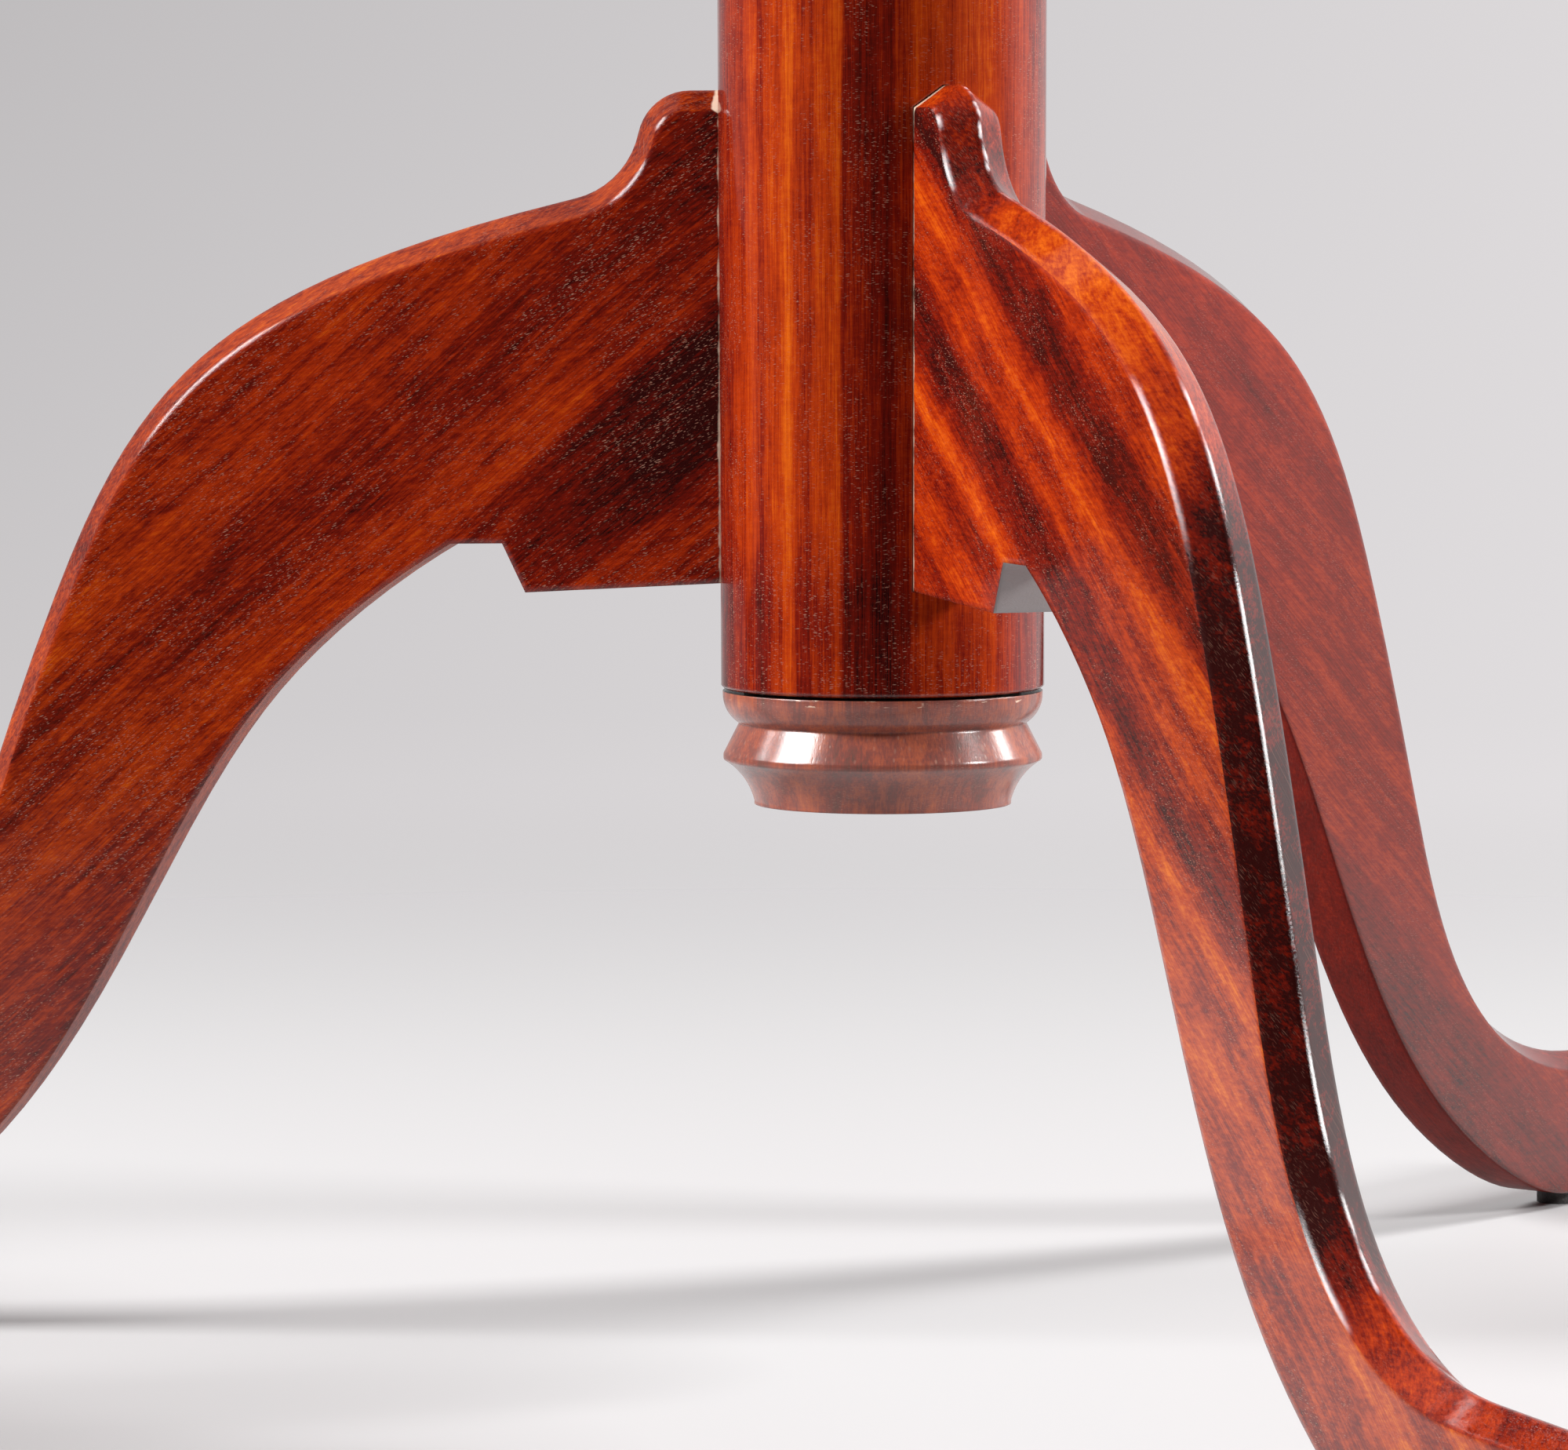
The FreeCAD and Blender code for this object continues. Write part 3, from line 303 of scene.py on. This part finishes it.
class LacqueredWood:
    """Ribbon-striped wood under gloss lacquer. What differs from these values is given by name."""

    tone = 0.0  # added to all stripes
    drift = 0.004  # how far the stripes wander
    bend = 0.0  # how far they have moved across at the far end of a leg
    calm = 0.0  # share of them that is lost there
    mellow = 1.0  # more yellow in a leg's flat sides there
    edges = None  # tones of a leg's bevels by their distance from the column's axis
    dusk = 0.0  # tone that a leg loses beside the column
    heart = None  # dark stripe there: its limits across the grain, and the tone that it loses
    foot = 0.0  # tone that the column loses at its lower end
    figure = 0.26  # strength of the mottle and flame
    grainy = 1.0  # strength of the fine grain
    cross = 0.16  # strength of the fibre that lies as the pores do
    flecks = None  # turns a place so that the pores run along X; without it they follow the grain
    speckle = 0.5  # how strongly the pores show
    warmth = 1.0  # more yellow in the red, on a leg in that of its bevels
    dry = 0.0  # share of painted haze: a grey veil that stands in for the lacquer's reflections
    coat = 0.05  # roughness of the lacquer
    arris = 0.0006  # how far the edges are softened
    marks = ()  # masks and the colours that they lay on: marks, and painted shade and reflection

    def __init__(self, name, steps, seed, bands, **given):
        """The first step turns the piece about Z, a leg so that it points along X. The second turns it so
        that its grain runs along X. The bands are its tones across the grain."""
        vars(self).update(given)
        self.material, self.g = new_material(name)
        g = self.g
        self.stand, lay = steps
        self.place = g.place()
        self.upright = g.turn(self.place, self.stand)
        self.out, _, self.up = g.parts(self.upright)
        if self.edges:
            self.bevel = g.span(g.sum("ABSOLUTE", self.looks()[1]), *FLAT_TO_BEVEL)
        self.set_grain(lay, seed)
        self.hair = g.swing(self.grain, **HAIR)
        self.pore = self.pores()
        base = self.stripes(bands)
        level = self.figured(base)
        self.lacquer(self.coloured(level), level)

    def looks(self):
        """How far a face looks outwards, sideways and up."""
        return self.g.parts(self.g.turn(self.g.facing(), self.stand))

    def set_grain(self, lay, seed):
        """Where a place lies along and across the grain; the stripes wander a little along the piece."""
        g = self.g
        at = g.turn(self.upright, lay)
        self.along, thick, across = g.parts(at)
        wander = g.noise(g.turn(at, shift=(seed, 0, 0)), WANDER_CELLS)
        across = g.sum("MULTIPLY_ADD", g.sum("SUBTRACT", wander, 0.5), 2 * self.drift, across)
        if self.bend:
            across = g.sum("ADD", across, g.span(self.along, *BEND_ALONG, 0, self.bend))
        self.across = across
        shift = [seed * share for share in SEED_SHIFT]
        self.grain = g.turn(g.join(self.along, thick, across), shift=shift)
        self.dash = self.flecks(g, self.place) if self.flecks else self.grain

    def pores(self):
        """Short dashes, each with its own length and strength, with bare patches between them."""
        g = self.g
        x, depth, z = g.parts(self.dash)
        sheet = g.join(x, g.sum("MULTIPLY_ADD", depth, PORE_SLANT, z), 0)
        bare = g.span(g.noise(self.grain, PATCH_CELLS), *PATCH_EDGES, MOST_BARE, LEAST_BARE)
        kinds = []
        for length, width in PORE_SIZES:
            near, pick = g.cells(sheet, (1 / length, 1 / width, 1))
            size, strength, _ = g.parts(pick)
            reach = g.sum("MULTIPLY_ADD", size, MORE_REACH, LEAST_REACH)
            shape = g.span(near, reach, g.times(reach, PORE_CORE))
            kinds.append(g.times(shape, g.span(strength, bare, g.sum("ADD", bare, PORE_FADE))))
        return g.sum("MAXIMUM", *kinds)

    def stripes(self, bands):
        """Tone of the broad stripes, and of a leg's bevels."""
        g = self.g
        ribbon = g.swing(self.grain, **RIBBON)
        base = g.sum("MULTIPLY_ADD", ribbon, RIBBON_WEIGHT, g.tones(self.across, bands))
        if self.calm:
            base = g.between(g.span(self.along, *CALM_ALONG, 0, self.calm), base, CALM_TONE)
        if self.foot:
            base = g.sum("ADD", base, g.span(self.up, *FOOT_UP, -self.foot, 0))
        if self.dusk:
            base = g.sum("ADD", base, g.span(self.out, *DUSK_OUT, -self.dusk, 0))
        if self.heart:
            limits, loss = self.heart
            dark = g.times(g.within(self.across, limits, HEART_SOFT), g.span(self.out, *HEART_OUT))
            base = g.sum("MULTIPLY_ADD", dark, -loss, base)
        if self.edges:
            base = g.between(self.bevel, base, g.tones(self.out, self.edges))
        return base

    def figured(self, base):
        """The stripes with their fine grain and figure."""
        g = self.g
        patterns = [
            (g.swing(self.grain, **STREAK), STREAK_WEIGHT * self.grainy),
            (self.hair, HAIR_WEIGHT * self.grainy),
            (g.swing(self.dash, **FIBRE), self.cross * self.grainy),
            (g.swing(self.grain, **MOTTLE), self.figure),
            (g.swing(self.grain, **FLAME), g.span(base, *FLAME_TONES, LEAST_FLAME, self.figure)),
        ]
        level = g.sum("ADD", base, self.tone)
        for pattern, weight in patterns:
            level = g.sum("MULTIPLY_ADD", pattern, weight, level)
        return level

    def coloured(self, level):
        """Colour of the wood with its pale filled pores, its marks, and its painted haze, shade and
        reflection.
        """
        g = self.g
        colour = g.ramp(level, WOOD_COLOURS, "LINEAR")
        colour = g.warm(self.bevel if self.edges else g.span(level, *WARM_TONES), colour, self.warmth)
        if self.mellow > 1:
            flat = g.sum("SUBTRACT", 1, self.bevel)
            colour = g.warm(g.times(g.span(self.along, *MELLOW_ALONG), flat), colour, self.mellow)
        on_pale = FLECK_ON_PALE * self.speckle
        shown = g.times(self.pore, g.span(level, *FLECK_TONES, self.speckle, on_pale))
        if self.edges:
            shown = g.times(shown, g.span(self.bevel, 0, 1, 1, FLECK_ON_BEVEL))
        colour = g.mix(shown, colour, FLECK)
        # Painted haze: a grey veil for the lacquer's reflections
        if self.dry:
            colour = g.mix(self.dry, colour, HAZE_GREY)
        # Marks, and painted shade and reflection, each laid by its mask
        for mask, laid in self.marks:
            colour = g.mix(mask(self), colour, laid)
        return colour

    def lacquer(self, colour, level):
        """Gloss film over the wood; it sinks a little into the pores."""
        g = self.g
        rounded = g.softened_arris(self.arris)
        swell = g.noise(self.place, SWELL_CELLS, 1)
        wave = g.sum("MULTIPLY_ADD", self.hair, FILM_GRAIN, swell)
        wood = g.sum("MULTIPLY_ADD", self.pore, -PORE_DEPTH, self.hair)
        film = g.sum("MULTIPLY_ADD", self.pore, -FILM_SINK, wave)
        share = 1.0
        if self.edges:
            outward, _, upward = self.looks()
            share = g.span(g.sum("ADD", outward, upward), *INNER_TO_OUTER, INNER_LACQUER, 1.0)
        g.surface(g.principled({
            "Base Color": colour,
            "Roughness": g.span(level, 0.1, 0.9, DARK_ROUGHNESS, PALE_ROUGHNESS, smooth=False),
            "IOR": 1.45,
            "Specular IOR Level": 0.04,
            "Coat Weight": share,
            "Coat Roughness": self.coat,
            "Coat IOR": 1.5,
            "Normal": g.bump(wood, over=rounded, **WOOD_RELIEF),
            "Coat Normal": g.bump(film, over=rounded, **FILM_RELIEF),
        }))


# Where the pores run
def round_the_axis(g, place):
    """Pores of a turned piece lie round it."""
    x, y, z = g.parts(place)
    angle = g.sum("ARCTAN2", y, x)
    radius = g.sum("POWER", g.sum("ADD", g.times(x, x), g.times(y, y)), 0.5)
    return g.join(g.times(angle, COLUMN_RADIUS), radius, z)


def down_the_leg(bearing, fall):
    """Pores of a leg fall less steeply than its grain."""
    return lambda g, place: g.turn(g.turn(place, (0, 0, -bearing)), (0, -fall, 0))


# Marks on the wood, and painted shade and reflection on it, each as a mask
GLUE_CELLS = (220, 220, 300)
GLUE_WIDTH = 0.0013
GLUE_LIP = 0.0015
GLUE_EDGE = (0.0003, -0.0002)
GLUE_STRENGTH = 0.8
LIP_UP = (TAB_TOP - 0.0048, TAB_TOP - 0.0034)
NOTCH_SOFT = 0.0004
NOTCH_LOOKS = (0.6, 0.8)
SEAM_UP = (SEAM - 0.0022, SEAM - 0.0014)
SEAM_LOOKS = (0.4, 0.8)
CHIPS_UP = (SEAM - 0.0017, SEAM - 0.0006)
CHIP_CELLS = (260, 260, 900)
CHIP_EDGES = (0.62, 0.70)
CHIP_SOFT = 0.0003
CHIP_STRENGTH = 0.7


def glue_line(wood):
    """Pale line of uneven width where a leg meets the column, wider on top of its tab."""
    g = wood.g
    uneven = g.noise(wood.upright, GLUE_CELLS, 3)
    lip = g.span(wood.up, *LIP_UP, 0, GLUE_LIP)
    reach = g.sum("ADD", g.sum("MULTIPLY_ADD", uneven, GLUE_WIDTH, LEG_END), lip)
    return g.times(g.span(g.sum("SUBTRACT", wood.out, reach), *GLUE_EDGE), GLUE_STRENGTH)


def painted_notch_reflection(wood):
    """Painted reflection: grey laid on the wall of the notch under a leg, where it looks outwards, for the
    bright floor that it mirrors.
    """
    g = wood.g
    inside = g.times(g.within(wood.out, NOTCH_OUT, NOTCH_SOFT), g.within(wood.up, NOTCH_UP, NOTCH_SOFT))
    return g.times(inside, g.span(wood.looks()[0], *NOTCH_LOOKS))


def painted_seam_shade(wood):
    """Painted shade on the upper face of the pendant, inside the open joint, where it looks up."""
    g = wood.g
    return g.times(g.span(wood.looks()[2], *SEAM_LOOKS), g.span(wood.up, *SEAM_UP))


def chipped_rim(wood):
    """Pale chips along the rim under the open joint."""
    g = wood.g
    chip = g.span(g.noise(wood.upright, CHIP_CELLS, 3, 0.6), *CHIP_EDGES)
    return g.times(chip, g.within(wood.up, CHIPS_UP, CHIP_SOFT), CHIP_STRENGTH)


# Felt of the pads and steel of the screws
FELT_COLOURS = [(0.25, (0.012, 0.011, 0.011)), (0.75, (0.075, 0.07, 0.068))]
STEEL_COLOURS = [(0.3, (0.40, 0.38, 0.34)), (0.7, (0.62, 0.59, 0.53))]


def felt(name):
    made, g = new_material(name)
    place = g.place()
    fibre = g.noise(place, (2600, 2600, 2600), 4, 0.7, 1.2)
    clump = g.noise(place, (420, 420, 420))
    g.surface(g.principled({
        "Base Color": g.ramp(g.sum("MULTIPLY_ADD", clump, 0.4, g.times(fibre, 0.6)), FELT_COLOURS),
        "Roughness": 0.95,
        "Sheen Weight": 0.4,
        "Normal": g.bump(fibre, 0.6, 0.0006),
    }))
    return made


def dull_steel(name):
    made, g = new_material(name)
    place = g.place()
    cloud = g.noise(place, (900, 900, 900), 3)
    rub = g.noise(place, (300, 6000, 300), 2)
    g.surface(g.principled({
        "Base Color": g.ramp(cloud, STEEL_COLOURS),
        "Metallic": 1,
        "Roughness": g.span(cloud, 0.3, 0.7, 0.24, 0.44),
        "Normal": g.bump(rub, 0.15, 0.0002),
    }))
    return made


# Tones of the stripes: millimetres across the grain, tone. On the column and on the left and front leg
# their places come from tones measured across the photograph, and on the rear leg from how it looks there.
# The tones of all four were changed until the render agreed.
COLUMN_BANDS = [
    (-30, .26), (-26, .38), (-24.1, .48), (-22.3, .37), (-18.9, .47), (-17.1, .65), (-15.3, .42),
    (-13.6, .37), (-11.8, .47), (-10, .39), (-8.3, .52), (-6.7, .25), (1.5, .19), (3.5, .28),
    (6.5, .46), (14, .46), (20, .54), (24, .44), (27, .38), (30, .30)]
PLAIN_BANDS = [(-300, .38), (-150, .46), (0, .36), (150, .46), (300, .38)]
TOP_BANDS = [
    (-300, .36), (-235, .46), (-190, .34), (-120, .45), (-75, .35), (-10, .43), (50, .33), (105, .46),
    (170, .36), (230, .45), (300, .37)]
LEG_BANDS = {
    "leg_left": [
        (95, .40), (140, .44), (146, .41), (152, .31), (162, .29), (167, .33), (174, .43), (179, .39),
        (187, .30), (194, .26), (199, .33), (204, .44), (211, .39), (220, .37), (245, .40)],
    "leg_front": [
        (95, .36), (132, .34), (138, .32), (143, .36), (150, .54), (159, .29), (166, .59), (170, .38),
        (174, .13), (179, .13), (183, .24), (187, .44), (191, .38), (196, .52), (200, .36), (206, .06),
        (211, .14), (215, .17), (219, .41), (235, .50), (250, .44)],
    "leg_rear": [
        (95, .11), (140, .14), (165, .26), (185, .25), (200, .28), (212, .23), (222, .31), (250, .30)],
}
# Tones of the legs' bevels: millimetres out from the column's axis, tone. The left one was measured along
# its length in the photograph, and the others were given one by one and from single readings.
LEG_EDGES = {
    "leg_left": [
        (20, .28), (45, .32), (62, .36), (95, .40), (120, .41), (136, .35), (155, .28), (165, .36),
        (295, .36)],
    "leg_front": [
        (20, .44), (36, .46), (46, .20), (58, .20), (68, .52), (100, .66), (138, .42), (152, .02),
        (190, .0), (202, .08), (212, .36), (235, .36), (260, .30), (295, .30)],
    "leg_rear": [(20, .22), (80, .24), (150, .20), (295, .22)],
}
LEG_LOOKS = {
    "leg_left": dict(figure=0.13, speckle=0.75, warmth=1.6, bend=0.0035, mellow=1.35, dusk=0.15,
                     heart=((0.154, 0.169), 0.20)),
    "leg_front": dict(figure=0.20, warmth=1.1, bend=-0.002, calm=0.4, mellow=1.6),
    "leg_rear": dict(figure=0.07, speckle=0.15, grainy=0.45, mellow=1.5),
}
LEG_ARRIS = 0.0016
LEVEL_GRAIN = [(0, 0, 0), (90, 0, 0)]
CROSS_GRAIN = [(0, 0, 90), (90, 0, 0)]
# The column's stripes lie square to the view: the grain runs up, and the tones from left to right
UPRIGHT_GRAIN = [(0, 0, -math.degrees(VIEW_HEADING)), (0, -90, 0)]


def dress(node, material):
    """Give a CAD node its finish in place of the plain one."""
    piece = nodes[node]
    piece.data.materials.clear()
    piece.data.materials.append(material)


def dress_wood(node, name, steps, seed, bands, **look):
    dress(node, LacqueredWood(name, steps, seed, bands, **look).material)


dress_wood("column", "column_lacquer", UPRIGHT_GRAIN, 3.1, COLUMN_BANDS, flecks=round_the_axis,
           figure=0.1, drift=0.0005, warmth=1.2, speckle=0.6, cross=0.05, foot=0.12)
# The pendant gets painted haze for its reflections and painted shade inside the open joint
dress_wood("pendant", "pendant_lacquer", UPRIGHT_GRAIN, 5.7, PLAIN_BANDS, flecks=round_the_axis,
           tone=-0.05, dry=0.26, warmth=1.8, cross=0.07, coat=0.2,
           marks=[(chipped_rim, GLUE), (painted_seam_shade, SEAM_SHADE_DARK)])
# Each leg gets a painted reflection on the walls of its notch
for leg, bearing in LEG_BEARINGS.items():
    dress_wood(leg, leg + "_lacquer", [(0, 0, -bearing), (0, -GRAIN_FALL[leg], 0)], 1.3 + bearing / 100,
               LEG_BANDS[leg], edges=LEG_EDGES[leg], flecks=down_the_leg(bearing, FLECK_FALL[leg]),
               arris=LEG_ARRIS, marks=[(glue_line, GLUE), (painted_notch_reflection, NOTCH_REFLECTION_GREY)], **LEG_LOOKS[leg])
for count, board in enumerate(("top_board_left", "top_board_middle", "top_board_right")):
    dress_wood(board, board + "_lacquer", LEVEL_GRAIN, 8.2 + count, TOP_BANDS, figure=0.07, drift=0.006,
               cross=0.08)
dress_wood("top_bearer", "bearer_lacquer", CROSS_GRAIN, 12.4, PLAIN_BANDS, figure=0.08, cross=0.08)
inner_wood = LacqueredWood("inner_wood", LEVEL_GRAIN, 15.0, PLAIN_BANDS, tone=0.2).material
for node in ("leg_dowels", "pendant_dowel", "tenon_wedge"):
    dress(node, inner_wood)
pad_felt = felt("pad_felt")
for node in ("foot_pad_left", "foot_pad_front", "foot_pad_rear"):
    dress(node, pad_felt)


# Screws through the bearer
SCREW_ROWS = (2, 4)
SCREW_HEAD = 0.0041
SCREW_SHANK = 0.0021
SCREW_POINT = 0.004
SCREW_TIP = 0.02  # share of the shank's radius
SCREW_STEP = 0.002
SCREW_SIDES = 28
SLOT_WIDTH = 0.0011
SLOT_DEPTH = 0.0009
SLOT_SEED = 4


def turned_screw(g, given):
    """One screw: a line whose radius is the countersunk head, then the shank, then the point."""
    line = g.node("GeometryNodeCurvePrimitiveLine")
    g.feed(line.inputs["End"], g.join(0, 0, given["Length"]))
    spaced = g.node("GeometryNodeResampleCurve", mode="LENGTH")
    g.feed(spaced.inputs["Curve"], line.outputs[0])
    spaced.inputs["Length"].default_value = SCREW_STEP
    rise = g.parts(g.node("GeometryNodeInputPosition").outputs[0])[2]
    head = g.sum("MAXIMUM", g.sum("SUBTRACT", given["Head Radius"], rise), given["Shank Radius"])
    left = g.sum("DIVIDE", g.sum("SUBTRACT", given["Length"], rise), given["Point"])
    taper = g.times(g.sum("MAXIMUM", left, SCREW_TIP), given["Shank Radius"])
    round_profile = g.node("GeometryNodeCurvePrimitiveCircle")
    round_profile.inputs["Resolution"].default_value = SCREW_SIDES
    round_profile.inputs["Radius"].default_value = 1
    turned = g.node("GeometryNodeCurveToMesh")
    g.feed(turned.inputs["Curve"], spaced.outputs[0])
    g.feed(turned.inputs["Profile Curve"], round_profile.outputs[0])
    g.feed(turned.inputs["Scale"], g.sum("MINIMUM", head, taper))
    turned.inputs["Fill Caps"].default_value = True
    return turned.outputs[0]


def slotted(g, given, screw):
    """The slot is cut across the head."""
    cutter = g.node("GeometryNodeMeshCube")
    wide = g.times(given["Head Radius"], 3)
    g.feed(cutter.inputs["Size"], g.join(wide, given["Slot Width"], g.times(given["Slot Depth"], 2)))
    cut = g.node("GeometryNodeMeshBoolean", operation="DIFFERENCE", solver="EXACT")
    g.feed(cut.inputs["Mesh 1"], screw)
    g.feed(cut.inputs["Mesh 2"], cutter.outputs[0])
    return cut.outputs[0]


def set_out(g, given, screw, middle):
    """Screws on a grid about its middle, each turned its own way."""
    grid = g.node("GeometryNodeMeshGrid")
    for socket, value in zip(grid.inputs, (given["Spread X"], given["Spread Y"], *SCREW_ROWS)):
        g.feed(socket, value)
    placed = g.node("GeometryNodeTransform")
    g.feed(placed.inputs["Geometry"], grid.outputs[0])
    placed.inputs["Translation"].default_value = middle
    spin = g.node("FunctionNodeRandomValue", data_type="FLOAT_VECTOR")
    spin.inputs["Min"].default_value = (0, 0, 0)
    spin.inputs["Max"].default_value = (0, 0, math.pi)
    spin.inputs["Seed"].default_value = SLOT_SEED
    copies = g.node("GeometryNodeInstanceOnPoints")
    g.feed(copies.inputs["Points"], placed.outputs[0])
    g.feed(copies.inputs["Instance"], screw)
    g.feed(copies.inputs["Rotation"], spin.outputs[0])
    real = g.node("GeometryNodeRealizeInstances")
    g.feed(real.inputs[0], copies.outputs[0])
    return real.outputs[0]


def slotted_screws(name, material):
    """Countersunk screws with their heads down, where the frame has them."""
    low, high = (Vector(corner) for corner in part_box("bearer_screws"))
    tree = bpy.data.node_groups.new(name, "GeometryNodeTree")
    g = Shade(tree)
    sizes = {"Spread X": high.x - low.x - 2 * SCREW_HEAD, "Spread Y": high.y - low.y - 2 * SCREW_HEAD,
             "Head Radius": SCREW_HEAD, "Shank Radius": SCREW_SHANK, "Length": high.z - low.z,
             "Point": SCREW_POINT, "Slot Width": SLOT_WIDTH, "Slot Depth": SLOT_DEPTH}
    sockets = {}
    for word in sizes:
        sockets[word] = tree.interface.new_socket(word, in_out="INPUT", socket_type="NodeSocketFloat")
    tree.interface.new_socket("Geometry", in_out="OUTPUT", socket_type="NodeSocketGeometry")
    given = g.node("NodeGroupInput").outputs
    middle = ((low.x + high.x) / 2, (low.y + high.y) / 2, low.z)
    steel = g.node("GeometryNodeSetMaterial")
    g.feed(steel.inputs["Geometry"], set_out(g, given, slotted(g, given, turned_screw(g, given)), middle))
    steel.inputs["Material"].default_value = material
    g.feed(g.node("NodeGroupOutput").inputs[0], steel.outputs[0])

    piece = bpy.data.objects.new(name, bpy.data.meshes.new(name))
    bpy.context.scene.collection.objects.link(piece)
    modifier = piece.modifiers.new(name, "NODES")
    modifier.node_group = tree
    for word, socket in sockets.items():
        modifier[socket.identifier] = sizes[word]
    made = bpy.data.meshes.new_from_object(piece.evaluated_get(bpy.context.evaluated_depsgraph_get()))
    piece.modifiers.remove(modifier)
    piece.data = made
    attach(piece, "root")
    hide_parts("bearer_screws")


slotted_screws("bearer_slotted_screws", dull_steel("screw_steel"))


# Floor, light and camera
FLOOR_SIDES = 96
FLOOR_REACH = 14
FLOOR_FADE = (0.30, 1.30)
FLOOR_COLOUR = (0.395, 0.389, 0.392, 1)
# The paper sweep that the camera sees, set after the photograph's backdrop: share of its rise and brightness,
# at its left and right side
PAPER_LEFT = [(0, .84), (.10, .80), (.19, .69), (.43, .585), (1, .50)]
PAPER_RIGHT = [(0, .87), (.066, .86), (.19, .78), (.43, .72), (1, .69)]
PAPER_TINT = (1.035, 1, 1.015)
PAPER_RISE = (-0.16, 0.04)
PAPER_ASIDE = (-0.14, 0.11)
# The studio that the lacquer mirrors: pairs are limits of a direction, the rest is brightness and tint
STUDIO_BEHIND = (-0.15, 0.50)
STUDIO_ASIDE = (-0.70, 0.90)
STUDIO_LEFT = 0.20
STUDIO_RIGHT = 0.90
STUDIO_RISE = (0.3, 0.9)
STUDIO_TOP = 0.9
STUDIO_FRONT = 0.015
STUDIO_TINT = (1, 0.985, 0.99)


def make_floor():
    """A wide disc that shows its paper near the table and fades into the sweep."""
    mesh = bpy.data.meshes.new("floor")
    angles = [math.tau * i / FLOOR_SIDES for i in range(FLOOR_SIDES)]
    ring = [(FLOOR_REACH * math.cos(angle), FLOOR_REACH * math.sin(angle), 0) for angle in angles]
    mesh.from_pydata(ring, [], [list(range(FLOOR_SIDES))])
    floor = bpy.data.objects.new("floor", mesh)
    bpy.context.scene.collection.objects.link(floor)
    made, g = new_material("floor_paper")
    far = g.node("ShaderNodeVectorMath", operation="LENGTH")
    g.feed(far.inputs[0], g.place())
    paper = g.principled({"Base Color": FLOOR_COLOUR, "Roughness": 0.6, "Specular IOR Level": 0.25})
    clear = g.node("ShaderNodeBsdfTransparent")
    both = g.node("ShaderNodeMixShader")
    g.feed(both.inputs[0], g.span(far.outputs["Value"], *FLOOR_FADE))
    g.feed(both.inputs[1], paper)
    g.feed(both.inputs[2], clear.outputs[0])
    g.surface(both.outputs[0])
    mesh.materials.append(made)


def softbox(name, side, rise, width, height, power, far=1.7, aim=Vector((0, 0, 0.15))):
    """A soft lamp by its direction from the aim, in degrees: side 0 is the viewer's, + is to the right."""
    turn = math.radians(side)
    up = math.radians(rise)
    flat = TO_RIGHT * math.sin(turn) - TO_BACK * math.cos(turn)
    lamp = bpy.data.lights.new(name, "AREA")
    lamp.shape = "RECTANGLE"
    lamp.size = width
    lamp.size_y = height
    lamp.energy = power
    box = bpy.data.objects.new(name, lamp)
    box.location = aim + (flat * math.cos(up) + Vector((0, 0, math.sin(up)))) * far
    box.rotation_euler = (aim - box.location).to_track_quat("-Z", "Y").to_euler()
    bpy.context.scene.collection.objects.link(box)


def make_world():
    """A studio, dark in front and pale behind, paler to the right; the camera sees the paper sweep."""
    world = bpy.data.worlds.new("studio")
    bpy.context.scene.world = world
    world.use_nodes = True
    g = Shade(world.node_tree)
    way = g.node("ShaderNodeTexCoord").outputs["Generated"]
    aside = g.dot(way, TO_RIGHT)
    rise = g.parts(way)[2]
    behind = g.span(g.dot(way, TO_BACK), *STUDIO_BEHIND)
    sides = g.span(aside, *STUDIO_ASIDE, STUDIO_LEFT, STUDIO_RIGHT, smooth=False)
    glow = g.times(behind, sides, g.span(rise, *STUDIO_RISE, 1, STUDIO_TOP))
    glow = g.sum("ADD", glow, STUDIO_FRONT)
    studio = g.join(*(g.times(glow, tint) for tint in STUDIO_TINT))
    low = g.span(rise, *PAPER_RISE, smooth=False)
    papers = []
    for stops in (PAPER_LEFT, PAPER_RIGHT):
        colours = [(at, tuple(tint * tone for tint in PAPER_TINT)) for at, tone in stops]
        papers.append(g.ramp(low, colours, "LINEAR"))
    paper = g.mix(g.span(aside, *PAPER_ASIDE, smooth=False), *papers)
    seen = g.node("ShaderNodeLightPath").outputs["Is Camera Ray"]
    sky = g.node("ShaderNodeBackground")
    g.feed(sky.inputs[0], g.mix(seen, studio, paper))
    g.feed(g.node("ShaderNodeOutputWorld").inputs[0], sky.outputs[0])


def make_camera():
    lens = bpy.data.cameras.new("photo_camera")
    lens.sensor_width = SENSOR_WIDTH
    lens.sensor_fit = "HORIZONTAL"
    lens.lens = FOCAL_PIXELS * SENSOR_WIDTH / IMAGE_WIDTH
    lens.clip_start = 0.05
    lens.clip_end = 100
    camera = bpy.data.objects.new("photo_camera", lens)
    turned = Matrix.Rotation(CAMERA_HEADING, 4, "Z") @ Matrix.Rotation(CAMERA_TILT, 4, "X")
    camera.matrix_world = Matrix.Translation(CAMERA_PLACE) @ turned @ Matrix.Rotation(CAMERA_ROLL, 4, "Z")
    bpy.context.scene.collection.objects.link(camera)
    bpy.context.scene.camera = camera


make_floor()
softbox("left_box", side=-78, rise=34, width=0.7, height=0.6, power=54)
softbox("right_strip", side=113, rise=44, width=0.22, height=1.25, power=34)
softbox("low_right_box", side=77, rise=26, width=0.35, height=0.35, power=28)
make_world()
make_camera()
bpy.context.scene.view_settings.view_transform = "Standard"
